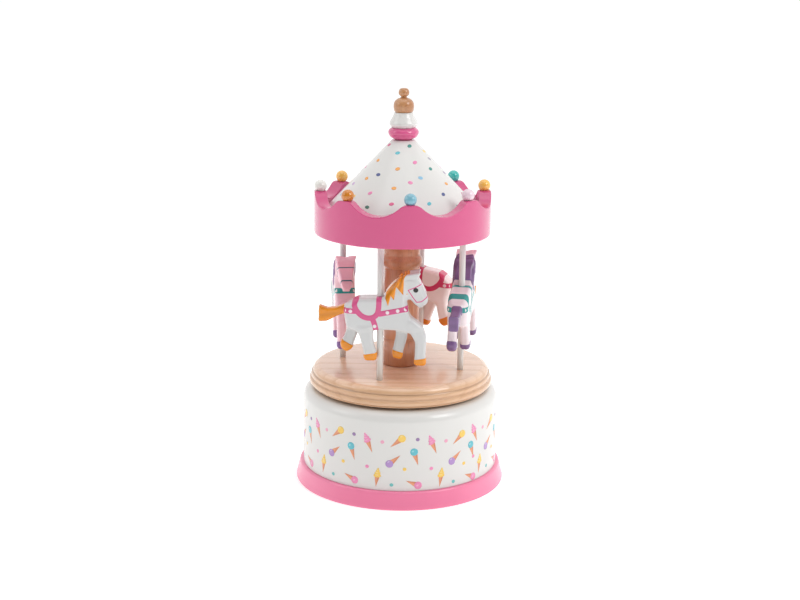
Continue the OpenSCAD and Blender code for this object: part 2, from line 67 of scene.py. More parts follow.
BASE_R = 55.0
BASE_TOP = 8.9
DRUM_R = DRUM_HIGH[0]
DRUM_TOP = DRUM_HIGH[2]
DRUM_WALL = 4.5
SHOULDER_R = 5.5
TABLE_R = 47.8
TABLE_BOTTOM = TABLE_LOW[2]
TABLE_TOP = TABLE_HIGH[2]
RIM_LIP = 0.95
RIM_STEP = 2.78
COLUMN_R = 9.2
COLUMN_BEAD_R = 10.5
POLE_R = (POLE_HIGH[0] - POLE_LOW[0]) / 2
POLE_RING_R = -(POLE_HIGH[1] + POLE_LOW[1]) / 2
CANOPY_BOTTOM = CROWN_LOW[2]
CROWN_TOP = CROWN_HIGH[2]
CROWN_R = 45.2
CROWN_WALL = 6.5
CROWN_TURN = math.radians(24)
SCALLOP_H = 6.3
PEAKS = 8
BEAD_R = 3.15
ROOF_TOP = ROOF_HIGH[2]
ROOF_TOP_R = 5.8
ROOF_EDGE = 144.4
ROOF_EDGE_R = CROWN_R - CROWN_WALL - 0.2
HOOF_GAP = 9.0
HORSE_Z = TABLE_TOP + HOOF_GAP
HORSE_W = 10.4

# Strength of the white surroundings behind and in front of the object, the floor's own glow, watts of
# the lamps, and where the camera stands: its turn, height and lean in degrees, its distance, aim and
# lens in millimetres
LIGHT_BEHIND = 1.0
LIGHT_BEFORE = 0.13
FLOOR_GLOW = 0.36
KEY_WATTS = 4.2
FILL_WATTS = 1.5
TOP_WATTS = 2.5
VIEW_TURN = 18.9
VIEW_LIFT = 14.01
VIEW_LEAN = 0.692
VIEW_DISTANCE = 760.4
VIEW_AIM = (-0.71, -0.24, 94.98)
VIEW_LENS = 65.77

# Place of each horse round the ring, its turn about its pole, nose inwards, and its nose-up tilt, in
# degrees; then its extra height on the pole in millimetres. It is tilted about a point TILT_H above its
# lowest hoof.
HORSES = {"front": (0, 17, 0, 0), "right": (90, 9, 7, 1), "back": (180, 4, 7, 1.5),
          "left": (270, 26, 7, -0.5)}
TILT_H = 30.0


# ---- meshes ----

def make_piece(name, points, faces, body, slot, material, replaced=()):
    """A mesh object at the origin from points in millimetres, with its material and body, hiding the CAD
    nodes it replaces. The slot is not used."""
    mesh = bpy.data.meshes.new(name)
    mesh.from_pydata((np.asarray(points) * MM).tolist(), [], faces)
    mesh.polygons.foreach_set("use_smooth", np.ones(len(mesh.polygons), bool))
    mesh.materials.append(material)
    mesh.update()
    piece = bpy.data.objects.new(name, mesh)
    bpy.context.scene.collection.objects.link(piece)
    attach(piece, body)
    if replaced:
        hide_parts(*replaced)
    return piece


def grid_faces(rows, columns, close_rows=False):
    """Quads of a grid of rows by columns whose columns close on themselves, and its rows too if asked."""
    last = rows if close_rows else rows - 1
    i, j = np.meshgrid(np.arange(last), np.arange(columns), indexing="ij")
    i2, j2 = (i + 1) % rows, (j + 1) % columns
    quads = np.stack([i * columns + j, i * columns + j2, i2 * columns + j2, i2 * columns + j], -1)
    return quads.reshape(-1, 4)


def lathe(profile, segments=192, centre=(0.0, 0.0)):
    """Surface of revolution: radius and height of each profile point, carried round the axis through
    centre. A profile that starts and ends on the axis closes in a pole at each end; any other one
    closes on itself. The profile runs from the bottom up the outside, so that the faces point outwards."""
    profile = np.asarray(profile, float)
    poles = profile[0, 0] < 1e-6 and profile[-1, 0] < 1e-6
    rings = profile[1:-1] if poles else profile
    angle = np.arange(segments) * 2 * np.pi / segments
    x = centre[0] + rings[:, :1] * np.cos(angle)
    y = centre[1] + rings[:, :1] * np.sin(angle)
    z = np.repeat(rings[:, 1:], segments, 1)
    points = np.stack([x, y, z], -1).reshape(-1, 3)
    faces = grid_faces(len(rings), segments, close_rows=not poles).tolist()
    if poles:
        low, high = len(points), len(points) + 1
        ends = [[centre[0], centre[1], profile[0, 1]], [centre[0], centre[1], profile[-1, 1]]]
        points = np.vstack([points, ends])
        j = np.arange(segments)
        j2 = (j + 1) % segments
        top = (len(rings) - 1) * segments
        faces += np.stack([j2, j, np.full(segments, low)], -1).tolist()
        faces += np.stack([top + j, top + j2, np.full(segments, high)], -1).tolist()
    return points, faces


def eased(line, radius=0.5, steps=5, closed=False):
    """Rounds each corner of a line with a parabola whose ends lie radius away along both edges, or at
    most 0.45 of an edge, and adds a holding point beyond each end so that the flats stay flat."""
    line = np.asarray(line, float)
    before, after = np.roll(line, 1, 0), np.roll(line, -1, 0)
    back, ahead = before - line, after - line
    back_l = np.linalg.norm(back, axis=1, keepdims=True)
    ahead_l = np.linalg.norm(ahead, axis=1, keepdims=True)
    reach = np.minimum(radius, 0.45 * np.minimum(back_l, ahead_l))
    start = line + back / back_l * reach
    end = line + ahead / ahead_l * reach
    hold = np.minimum(0.15, 0.04 * np.minimum(back_l, ahead_l))
    first = start + back / back_l * hold
    last = end + ahead / ahead_l * hold
    t = np.linspace(0, 1, steps + 1)[None, :, None]
    curve = start[:, None] * (1 - t) ** 2 + 2 * line[:, None] * t * (1 - t) + end[:, None] * t ** 2
    bends = np.concatenate([first[:, None], curve, last[:, None]], 1)
    if closed:
        return bends.reshape(-1, 2)
    return np.vstack([line[:1], bends[1:-1].reshape(-1, 2), line[-1:]])


def flowing(line, passes=4):
    """Cuts every corner of an open line at a quarter and three quarters of its edges, again and again,
    which tends to a smooth curve through the middles of the edges."""
    line = np.asarray(line, float)
    for _ in range(passes):
        quarter = line[:-1] * 0.75 + line[1:] * 0.25
        three = line[:-1] * 0.25 + line[1:] * 0.75
        middle = np.stack([quarter, three], 1).reshape(-1, 2)
        line = np.vstack([line[:1], middle, line[-1:]])
    return line


def arc(centre, radius, start, end, steps=8):
    """Points of a circle about centre, between two angles in degrees."""
    a = np.radians(np.linspace(start, end, steps + 1))
    return np.stack([centre[0] + radius * np.cos(a), centre[1] + radius * np.sin(a)], -1)


# ---- materials ----

def rgb(code):
    """Linear colour with alpha from an sRGB hex code."""
    c = np.array([int(code[i:i + 2], 16) for i in (1, 3, 5)]) / 255
    linear = np.where(c <= 0.04045, c / 12.92, ((c + 0.055) / 1.055) ** 2.4)
    return (*linear.tolist(), 1.0)


def lighter(code, share):
    """A hex code moved by a share towards white."""
    c = [int(code[i:i + 2], 16) for i in (1, 3, 5)]
    return "#" + "".join(f"{round(v + (255 - v) * share):02x}" for v in c)


def shaded(code, share):
    """Linear colour of a hex code, moved by a share towards black."""
    return (*(v * (1 - share) for v in rgb(code)[:3]), 1.0)


def per_mm(size):
    """Noise scale whose blotches are about size millimetres across."""
    return 1 / (size * MM)


def node(tree, kind, inputs=None, out=0, **settings):
    """Adds a shader node with its settings, gives each input a value or the socket that feeds it, and
    returns an output."""
    made = tree.nodes.new("ShaderNode" + kind)
    for key, value in settings.items():
        setattr(made, key, value)
    for key, value in (inputs or {}).items():
        if isinstance(value, bpy.types.NodeSocket):
            tree.links.new(value, made.inputs[key])
        else:
            made.inputs[key].default_value = value
    return made.outputs[out]


def start_material(name):
    """An empty node material, its tree and its object coordinates."""
    material = bpy.data.materials.new(name)
    material.use_nodes = True
    tree = material.node_tree
    tree.nodes.clear()
    return material, tree, node(tree, "TexCoord", out="Object")


def finish_material(tree, inputs):
    """Joins a principled shader with these inputs to the output."""
    output = tree.nodes.new("ShaderNodeOutputMaterial")
    tree.links.new(node(tree, "BsdfPrincipled", inputs), output.inputs["Surface"])


def sprayed_surface(tree, place, peel_mm=1.6, depth_mm=0.003):
    """Normal of sprayed paint: fine orange peel over the long low waves of the sanded wood below."""
    peel = node(tree, "TexNoise", {"Vector": place, "Scale": per_mm(peel_mm), "Detail": 1.0})
    waves = node(tree, "TexNoise", {"Vector": place, "Scale": per_mm(25), "Detail": 1.0})
    low = node(tree, "Bump", {"Height": waves, "Distance": 8 * depth_mm * MM})
    return node(tree, "Bump", {"Height": peel, "Distance": depth_mm * MM, "Normal": low})


def lacquer(name, code, roughness=0.2, coat=0.4, fade=0.03):
    """Sprayed lacquer on turned wood: one even colour, slightly cloudy, under a clear gloss whose
    highlights are broken up by orange peel and by faint handling marks."""
    material, tree, place = start_material(name)
    cloud = node(tree, "TexNoise", {"Vector": place, "Scale": per_mm(22), "Detail": 3.0})
    marks = node(tree, "TexNoise", {"Vector": place, "Scale": per_mm(4), "Detail": 4.0})
    base = node(tree, "Mix", {0: cloud, 6: rgb(code), 7: shaded(code, fade)}, 2, data_type="RGBA")
    rough = node(tree, "MapRange", {"Value": marks, "To Min": roughness - 0.02, "To Max": roughness + 0.03})
    finish_material(tree, {"Base Color": base, "Roughness": rough, "Coat Weight": coat,
                           "Coat Roughness": 0.1, "Normal": sprayed_surface(tree, place)})
    return material


def pine(name, grain_turn):
    """Clear-lacquered pine: broad pale early wood and narrow darker late wood, in growth rings whose
    heart lies far behind and below the board, so that the lines run nearly straight along it, with
    short fibres between. The moulded edge is a shade darker than the flat face, partly from its cut
    fibres, which drank more lacquer, and partly as painted shade for the lesser light on its side; its
    grooves are darker still, a painted shadow in the hollows."""
    material, tree, place = start_material(name)
    ring_mm = 4.8
    heart_mm = (0.0, 38.0, -20.0)
    along = node(tree, "Mapping", {"Vector": place, "Rotation": (0, 0, -grain_turn)})
    slow = node(tree, "Mapping", {"Vector": along, "Scale": (0.12, 1, 1)})
    drift = node(tree, "TexNoise", {"Vector": slow, "Scale": per_mm(24), "Detail": 2.0})
    bend = node(tree, "MapRange", {"Value": drift, "To Min": -4 * MM, "To Max": 4 * MM})
    push = node(tree, "CombineXYZ", {"Y": bend, "Z": bend})
    bent = node(tree, "VectorMath", {0: along, 1: push}, operation="ADD")
    flat = node(tree, "VectorMath", {0: bent, 1: (0, 1, 1)}, operation="MULTIPLY")
    heart = tuple(v * MM for v in heart_mm)
    radius = node(tree, "VectorMath", {0: flat, 1: heart}, "Value", operation="DISTANCE")
    turns = node(tree, "Math", {0: radius, 1: ring_mm * MM}, operation="DIVIDE")
    phase = node(tree, "Math", {0: turns}, operation="FRACT")
    late = node(tree, "MapRange", {"Value": phase, "From Min": 0.45, "From Max": 0.93},
                interpolation_type="SMOOTHSTEP")
    early = node(tree, "MapRange", {"Value": phase, "From Min": 0.93, "From Max": 1.0, "To Min": 1.0,
                                    "To Max": 0.0})
    line = node(tree, "Math", {0: late, 1: early}, operation="MULTIPLY")
    fine = node(tree, "Mapping", {"Vector": along, "Scale": (0.05, 1, 1)})
    flat_fibre = node(tree, "TexNoise", {"Vector": fine, "Scale": per_mm(0.8), "Detail": 3.0,
                                         "Roughness": 0.6})
    rounded = node(tree, "Mapping", {"Vector": along, "Scale": (0.05, 0.05, 1)})
    edge_fibre = node(tree, "TexNoise", {"Vector": rounded, "Scale": per_mm(0.9), "Detail": 3.0})
    height = node(tree, "SeparateXYZ", {"Vector": place}, "Z")
    edge = node(tree, "MapRange", {"Value": height, "From Min": (TABLE_TOP - 2) * MM,
                                   "From Max": (TABLE_TOP - 0.8) * MM, "To Min": 1.0, "To Max": 0.0})
    fibre = node(tree, "Mix", {0: edge, 2: flat_fibre, 3: edge_fibre})
    patch = node(tree, "TexNoise", {"Vector": slow, "Scale": per_mm(26), "Detail": 2.0})
    strong = node(tree, "MapRange", {"Value": patch, "From Min": 0.35, "From Max": 0.7, "To Min": 0.15,
                                     "To Max": 0.6})
    lined = node(tree, "Math", {0: line, 1: strong}, operation="MULTIPLY")
    fainter = node(tree, "MapRange", {"Value": edge, "To Min": 1.0, "To Max": 0.4})
    shown = node(tree, "Math", {0: lined, 1: fainter}, operation="MULTIPLY")
    plain = node(tree, "Mix", {0: patch, 6: rgb("#f8d8bb"), 7: rgb("#f1c8a8")}, 2, data_type="RGBA")
    ringed = node(tree, "Mix", {0: shown, 6: plain, 7: rgb("#cd9767")}, 2, data_type="RGBA")
    streak = node(tree, "MapRange", {"Value": fibre, "From Min": 0.45, "From Max": 0.8, "To Max": 0.4})
    grained = node(tree, "Mix", {0: streak, 6: ringed, 7: rgb("#cb9466")}, 2, data_type="RGBA")
    # The moulded edge is multiplied darker: partly its cut fibres, which take more lacquer, partly painted
    # shade for the lesser light on the side.
    edge_tone_and_shade = node(tree, "Mix", {0: edge, 6: grained, 7: rgb("#ece0d0")}, 2, data_type="RGBA",
                 blend_type="MULTIPLY")
    # The grooves between the edge's beads are painted darker: painted shade in the hollows.
    above = node(tree, "Math", {0: height, 1: (TABLE_BOTTOM + RIM_LIP) * MM}, operation="SUBTRACT")
    groove = node(tree, "Math", {0: above, 1: RIM_STEP / 2 * MM}, operation="PINGPONG")
    groove_shade = node(tree, "MapRange", {"Value": groove, "From Max": 0.5 * MM, "To Min": 0.25, "To Max": 0.0},
                    interpolation_type="SMOOTHSTEP")
    groove_shade_on_edge = node(tree, "Math", {0: groove_shade, 1: edge}, operation="MULTIPLY")
    base = node(tree, "Mix", {0: groove_shade_on_edge, 6: edge_tone_and_shade, 7: rgb("#a87448")}, 2, data_type="RGBA")
    rough = node(tree, "MapRange", {"Value": fibre, "To Min": 0.2, "To Max": 0.32})
    bump = node(tree, "Bump", {"Height": fibre, "Distance": 0.012 * MM})
    finish_material(tree, {"Base Color": base, "Roughness": rough, "Coat Weight": 0.8, "Coat Roughness": 0.2,
                           "Normal": bump})
    return material


def stained_wood(name, light, dark, pore, roughness=0.26):
    """Turned hardwood under stain and clear lacquer: long upright fibres, small dark pores and slow
    bands where the stain went deeper."""
    material, tree, place = start_material(name)
    upright = node(tree, "Mapping", {"Vector": place, "Scale": (1, 1, 0.07)})
    bands = node(tree, "TexNoise", {"Vector": upright, "Scale": per_mm(5.5), "Detail": 3.0})
    fibre = node(tree, "TexNoise", {"Vector": upright, "Scale": per_mm(0.7), "Detail": 4.0,
                                    "Roughness": 0.6})
    stain = node(tree, "MapRange", {"Value": bands, "From Min": 0.3, "From Max": 0.7})
    plain = node(tree, "Mix", {0: stain, 6: rgb(light), 7: rgb(dark)}, 2, data_type="RGBA")
    pores = node(tree, "MapRange", {"Value": fibre, "From Min": 0.58, "From Max": 0.75, "To Max": 0.5})
    base = node(tree, "Mix", {0: pores, 6: plain, 7: rgb(pore)}, 2, data_type="RGBA")
    rough = node(tree, "MapRange", {"Value": fibre, "To Min": roughness - 0.04, "To Max": roughness + 0.1})
    bump = node(tree, "Bump", {"Height": fibre, "Distance": 0.012 * MM})
    finish_material(tree, {"Base Color": base, "Roughness": rough, "Coat Weight": 0.55,
                           "Coat Roughness": 0.1, "Normal": bump})
    return material


def machined_metal(name, code, roughness=0.3, lines_mm=0.3):
    """Metal as the tool or the mould left it: fine marks that break up its reflections, and a little
    tarnish."""
    material, tree, place = start_material(name)
    lines = node(tree, "TexNoise", {"Vector": place, "Scale": per_mm(lines_mm), "Detail": 2.0})
    cloud = node(tree, "TexNoise", {"Vector": place, "Scale": per_mm(6), "Detail": 4.0})
    share = node(tree, "MapRange", {"Value": cloud, "To Max": 0.3})
    base = node(tree, "Mix", {0: share, 6: rgb(code), 7: shaded(code, 0.4)}, 2, data_type="RGBA")
    rough = node(tree, "MapRange", {"Value": lines, "To Min": roughness - 0.08, "To Max": roughness + 0.12})
    bump = node(tree, "Bump", {"Height": lines, "Distance": 0.008 * MM})
    finish_material(tree, {"Base Color": base, "Metallic": 1.0, "Roughness": rough, "Normal": bump})
    return material


def moulded_nylon(name, code):
    """Moulded nylon: milky and satin, faintly pitted by the mould."""
    material, tree, place = start_material(name)
    pits = node(tree, "TexNoise", {"Vector": place, "Scale": per_mm(0.4), "Detail": 2.0})
    cloud = node(tree, "TexNoise", {"Vector": place, "Scale": per_mm(8), "Detail": 2.0})
    base = node(tree, "Mix", {0: cloud, 6: rgb(code), 7: shaded(code, 0.15)}, 2, data_type="RGBA")
    rough = node(tree, "MapRange", {"Value": pits, "To Min": 0.38, "To Max": 0.52})
    bump = node(tree, "Bump", {"Height": pits, "Distance": 0.01 * MM})
    finish_material(tree, {"Base Color": base, "Roughness": rough, "Normal": bump})
    return material


def fibreboard(name):
    """Pressed fibreboard: short felted fibres of two browns, matt and a little furry."""
    material, tree, place = start_material(name)
    fibre = node(tree, "TexNoise", {"Vector": place, "Scale": per_mm(0.9), "Detail": 5.0, "Roughness": 0.7})
    base = node(tree, "Mix", {0: fibre, 6: rgb("#a98458"), 7: rgb("#d0af80")}, 2, data_type="RGBA")
    rough = node(tree, "MapRange", {"Value": fibre, "To Min": 0.75, "To Max": 0.9})
    bump = node(tree, "Bump", {"Height": fibre, "Distance": 0.06 * MM})
    finish_material(tree, {"Base Color": base, "Roughness": rough, "Normal": bump})
    return material


def horse_enamel(name, coat, hair, harness, line, stud, face_shade, face_shade_share):
    """Brush-painted gloss enamel on a carved horse. Each colour ends where its distance in millimetres,
    which the mesh carries, passes zero. The hair is painted darker between its carved strands, a painted
    shade in the grooves, and the front faces of the head take a deeper colour, a painted shade."""
    material, tree, place = start_material(name)
    cloud = node(tree, "TexNoise", {"Vector": place, "Scale": per_mm(6), "Detail": 3.0})
    painted = node(tree, "Mix", {0: cloud, 6: rgb(coat), 7: shaded(coat, 0.05)}, 2, data_type="RGBA")
    strap = node(tree, "Mix", {0: cloud, 6: rgb(harness), 7: shaded(harness, 0.14)}, 2, data_type="RGBA")
    strand = node(tree, "Attribute", out="Fac", attribute_name="strand")
    # Hair is painted darker towards the hollows between its carved strands: painted shade.
    strand_shade = node(tree, "MapRange", {"Value": strand, "From Min": -1.0, "From Max": 0.4, "To Min": 1.0,
                                   "To Max": 0.0})
    hairs = node(tree, "Mix", {0: strand_shade, 6: rgb(hair), 7: shaded(hair, 0.3)}, 2, data_type="RGBA")
    # The first layer paints shade on the front faces of the head.
    layers = [("face_shade_mm", rgb(face_shade), 0.5, face_shade_share), ("strap_mm", strap, 0.05, 1.0),
              ("stud_mm", rgb(stud), 0.05, 1.0), ("hair_mm", hairs, 0.05, 1.0),
              ("hoof_mm", rgb(hair), 0.05, 1.0), ("line_mm", rgb(line), 0.05, 1.0),
              ("eye_mm", rgb("#050404"), 0.05, 1.0)]
    for attribute, colour, soft, share in layers:
        distance = node(tree, "Attribute", out="Fac", attribute_name=attribute)
        cover = node(tree, "MapRange", {"Value": distance, "From Min": soft, "From Max": -soft,
                                        "To Max": share})
        painted = node(tree, "Mix", {0: cover, 6: painted, 7: colour}, 2, data_type="RGBA")
    brush = node(tree, "TexNoise", {"Vector": place, "Scale": per_mm(2.5), "Detail": 2.0})
    rough = node(tree, "MapRange", {"Value": brush, "To Min": 0.16, "To Max": 0.27})
    finish_material(tree, {"Base Color": painted, "Roughness": rough, "Specular IOR Level": 0.4,
                           "Coat Weight": 0.25, "Coat Roughness": 0.08,
                           "Normal": sprayed_surface(tree, place, 1.1, 0.006)})
    return material


def printed_film(name):
    """Screen-printed transfer under the lacquer: flat inks, a little thinner in places, from the mesh's
    colours."""
    material, tree, place = start_material(name)
    ink = node(tree, "Attribute", out="Color", attribute_name="ink")
    thin = node(tree, "TexNoise", {"Vector": place, "Scale": per_mm(0.5), "Detail": 1.0})
    share = node(tree, "MapRange", {"Value": thin, "To Max": 0.08})
    base = node(tree, "Mix", {0: share, 6: ink, 7: rgb("#ffffff")}, 2, data_type="RGBA")
    rough = node(tree, "MapRange", {"Value": thin, "To Min": 0.2, "To Max": 0.3})
    finish_material(tree, {"Base Color": base, "Roughness": rough, "Coat Weight": 0.4,
                           "Coat Roughness": 0.1})
    return material


# ---- camera, light and floor ----

def place_round(name, data, azimuth, lift, distance, aim, lean=0.0):
    """Puts a camera or a lamp at a distance from its aim, in millimetres, from an azimuth and a height
    in degrees, looking at the aim and leaning sideways."""
    a, e, tip = math.radians(azimuth), math.radians(lift), math.radians(lean)
    back = np.array([math.sin(a) * math.cos(e), -math.cos(a) * math.cos(e), math.sin(e)])
    level = np.array([math.cos(a), math.sin(a), 0.0])
    right = math.cos(tip) * level + math.sin(tip) * np.cross(back, level)
    place = (np.array(aim) + back * distance) * MM
    thing = bpy.data.objects.new(name, data)
    turned = np.stack([right, np.cross(back, right), back, place], -1).tolist()
    thing.matrix_world = Matrix([*turned, [0, 0, 0, 1]])
    bpy.context.scene.collection.objects.link(thing)
    return thing


def make_camera():
    """A 66 mm lens from the front, a little to the right and above, aimed at the middle of the object."""
    data = bpy.data.cameras.new("camera")
    data.sensor_width = 36
    data.lens = VIEW_LENS
    camera = place_round("camera", data, VIEW_TURN, VIEW_LIFT, VIEW_DISTANCE, VIEW_AIM, VIEW_LEAN)
    bpy.context.scene.camera = camera


def soft_box(name, azimuth, lift, distance, size, power):
    """A square studio light that looks at the object's middle."""
    data = bpy.data.lights.new(name, "AREA")
    data.shape = "SQUARE"
    data.size = size
    data.energy = power
    place_round(name, data, azimuth, lift, distance, (0, 0, 100))


def make_studio():
    """White surroundings that are dimmer on the side where the camera stands, as in a tent with one
    open side, three soft boxes and a pale floor."""
    scene = bpy.context.scene
    scene.view_settings.view_transform = "Standard"
    world = bpy.data.worlds.new("white_studio")
    world.use_nodes = True
    tree = world.node_tree
    direction = node(tree, "TexCoord", out="Generated")
    turn = math.radians(VIEW_TURN)
    opening = (math.sin(turn), -math.cos(turn), 0.0)
    forward = node(tree, "VectorMath", {0: direction, 1: opening}, "Value", operation="DOT_PRODUCT")
    dimmed = node(tree, "MapRange", {"Value": forward, "From Min": -0.3, "From Max": 0.85,
                                     "To Min": LIGHT_BEHIND, "To Max": LIGHT_BEFORE},
                  interpolation_type="SMOOTHSTEP")
    seen = node(tree, "LightPath", out="Is Camera Ray")
    strength = node(tree, "MapRange", {"Value": seen, "To Min": dimmed, "To Max": 1.0})
    tree.links.new(strength, tree.nodes["Background"].inputs["Strength"])
    tree.nodes["Background"].inputs["Color"].default_value = (1, 1, 1, 1)
    scene.world = world
    soft_box("key_light", 76, 38, 1100, 0.5, KEY_WATTS)
    soft_box("fill_light", -58, 31, 1200, 0.5, FILL_WATTS)
    soft_box("top_light", 0, 84, 1200, 0.9, TOP_WATTS)
    material, tree, place = start_material("matt_white_board")
    cloud = node(tree, "TexNoise", {"Vector": place, "Scale": per_mm(60), "Detail": 2.0})
    base = node(tree, "Mix", {0: cloud, 6: rgb("#f4f4f3"), 7: rgb("#f6f6f6")}, 2, data_type="RGBA")
    finish_material(tree, {"Base Color": base, "Roughness": 0.9, "Specular IOR Level": 0.1,
                           "Emission Color": (1, 1, 1, 1), "Emission Strength": FLOOR_GLOW})
    half = 9.0
    corners = [[-half, -half, 0], [half, -half, 0], [half, half, 0], [-half, half, 0]]
    mesh = bpy.data.meshes.new("floor")
    mesh.from_pydata(corners, [], [[0, 1, 2, 3]])
    mesh.materials.append(material)
    floor = bpy.data.objects.new("floor", mesh)
    scene.collection.objects.link(floor)


# ---- base ----

def make_base(pink, white):
    """The flared ring, turned from one profile, and the drum that stands in it."""
    lip, inner, hole, plate = 2.3, 38.0, 3.5, 5.6
    inside = DRUM_R - DRUM_WALL
    shoulder = (DRUM_R - SHOULDER_R, DRUM_TOP - SHOULDER_R)
    ring = eased([[inner, 0], [BASE_R, 0], [BASE_R - lip, BASE_TOP], [inside - 0.2, BASE_TOP],
                  [inside - 0.2, BASE_HIGH[2]], [inner, BASE_HIGH[2]]], 0.9, 6, closed=True)
    make_piece("base_ring_turned", *lathe(ring, 256), "base", "pink_paint", pink, ["base_ring"])
    drum = np.vstack([
        eased([[inside, BASE_TOP + 0.02], [DRUM_R, BASE_TOP + 0.02], [DRUM_R, shoulder[1]]], 0.3)[1:-1],
        arc(shoulder, SHOULDER_R, 0, 90, 16),
        [[shoulder[0] - 0.4, DRUM_TOP], [hole + 0.5, DRUM_TOP], [hole, DRUM_TOP - 0.4],
         [hole, DRUM_TOP - plate], [inside, DRUM_TOP - plate], [inside, BASE_TOP + 0.5]]])
    make_piece("drum_turned", *lathe(drum, 256), "base", "white_paint", white, ["drum_shell"])


# ---- turntable and column ----

def make_table(wood):
    """The moulded rim under a flat face: two beads and a quarter round, each set back from the one
    below, with a narrow groove between them and a thin lip at the bottom."""
    t, b, r = TABLE_TOP, TABLE_BOTTOM, TABLE_R
    rim = np.vstack([
        [[0, b], [r - 3.0, b], [r - 2.2, b]],
        arc((r - 1.6, b + 0.45), 0.45, -100, 60, 6),
        [[r - 1.35, b + RIM_LIP]],
        arc((r - 2.6, b + 2.35), 2.6, -26, 26, 12),
        [[r - 0.95, b + RIM_LIP + RIM_STEP]],
        arc((r - 3.8, b + 5.1), 2.9, -22, 24, 12),
        [[r - 2.15, b + RIM_LIP + 2 * RIM_STEP]],
        arc((r - 5.0, b + 6.6), 3.2, 8, 62, 14),
        [[r - 4.2, t - 0.35], [r - 4.7, t - 0.05], [r - 5.2, t], [0, t]]])
    make_piece("turntable_moulded", *lathe(rim, 256), "carousel", "clear_pine", wood, ["turntable"])


def make_column(wood):
    """A plain shaft with a V-groove below and a bead above."""
    foot, head = TABLE_TOP, CANOPY_BOTTOM
    groove, bead = foot + 14.3, foot + 52
    r, big = COLUMN_R, COLUMN_BEAD_R
    outline = np.vstack([
        [[0, foot - 3], [5, foot - 3], [5, foot + 0.01], [r - 0.6, foot + 0.01], [r - 0.1, foot + 0.4],
         [r, foot + 0.9], [r, groove - 0.8], [r - 0.12, groove - 0.45], [r - 0.55, groove],
         [r, groove + 0.45], [r + 0.1, groove + 0.8]],
        flowing([[r, bead - 0.5], [r - 0.1, bead - 0.1], [big - 0.6, bead + 0.9], [big + 0.4, bead + 3.0],
                 [big - 0.2, bead + 5.2], [r + 0.5, bead + 6.0], [r + 0.2, bead + 6.9]]),
        [[r + 0.2, bead + 7.4], [r + 0.2, head - 0.01], [5, head - 0.01], [5, head + 3], [0, head + 3]]])
    make_piece("column_turned", *lathe(outline, 128), "carousel", "brown_wood", wood, ["column"])


def make_poles(white):
    """Four round dowels, softened at their ends."""
    r = POLE_R
    outline = [[0, POLE_LOW[2]], [r - 0.3, POLE_LOW[2]], [r, POLE_LOW[2] + 0.3],
               [r, POLE_HIGH[2] - 0.3], [r - 0.3, POLE_HIGH[2]], [0, POLE_HIGH[2]]]
    for name, (place, *_) in HORSES.items():
        a = math.radians(place)
        centre = (POLE_RING_R * math.sin(a), -POLE_RING_R * math.cos(a))
        make_piece(f"pole_{name}_dowel", *lathe(outline, 48, centre), "carousel", "white_paint", white,
                   [f"pole_{name}"])


# ---- canopy ----

def scallop_height(across):
    """Height of the crown's edge above the dips, from the distance across a scallop: a round dip, a
    straight rise, and a small round roll on to the flat of the peak."""
    slope, dip_r, roll_r = math.radians(42), 17.0, 4.5
    rise = SCALLOP_H - (dip_r + roll_r) * (1 - math.cos(slope))
    dip_end = dip_r * math.sin(slope)
    half = dip_end + rise / math.tan(slope) + roll_r * math.sin(slope)
    s = np.abs(across)
    dip = dip_r - np.sqrt(np.maximum(dip_r ** 2 - s ** 2, 0))
    straight = dip_r * (1 - math.cos(slope)) + (s - dip_end) * math.tan(slope)
    roll = SCALLOP_H - roll_r + np.sqrt(np.maximum(roll_r ** 2 - (half - s) ** 2, 0))
    rolling = s > half - roll_r * math.sin(slope)
    height = np.where(s < dip_end, dip, np.where(rolling, roll, straight))
    return np.where(s > half, SCALLOP_H, height)


def make_crown(pink):
    """The crown: its section is carried round the axis, and its upper edge follows the scallops. The
    edges are rounded by a quarter circle."""
    segments, edge = 8 * 72, 0.5
    angle = np.arange(segments) * 2 * np.pi / segments
    pitch = 2 * np.pi / PEAKS
    off_peak = np.mod(angle - (CROWN_TURN - np.pi / 2) + pitch / 2, pitch) - pitch / 2
    off_dip = pitch / 2 - np.abs(off_peak)
    inner, outer = CROWN_R - CROWN_WALL, CROWN_R
    turn = np.radians(np.linspace(0, 90, 5))
    low = [(inner + 0.4, 0, 0), (outer - 0.6, 0, 0), (outer - 0.15, 0.15, 0), (outer, 0.6, 0),
           (outer, 1.2, 0)]
    high = [(outer, -edge - 0.15, 1)]
    high += [(outer - edge + edge * math.cos(a), -edge + edge * math.sin(a), 1) for a in turn]
    across = np.linspace(outer - edge - 0.15, inner + edge + 0.15, 7)
    high += [(r, 0, 1) for r in across]
    high += [(inner + edge - edge * math.sin(a), -edge + edge * math.cos(a), 1) for a in turn]
    high += [(inner, -edge - 0.15, 1)]
    section = np.array(low + high + [(inner, 1.2, 0), (inner, 0.4, 0)])
    r, offset, upper = section[:, :1], section[:, 1:2], section[:, 2:] > 0.5
    edge_z = CROWN_TOP - SCALLOP_H + scallop_height(r * np.sin(off_dip)[None, :])
    z = np.where(upper, edge_z + offset, CANOPY_BOTTOM + offset)
    points = np.stack([r * np.cos(angle), r * np.sin(angle), z], -1).reshape(-1, 3)
    faces = grid_faces(len(section), segments, close_rows=True).tolist()
    make_piece("crown_carved", points, faces, "carousel", "pink_paint", pink, ["crown_ring"])


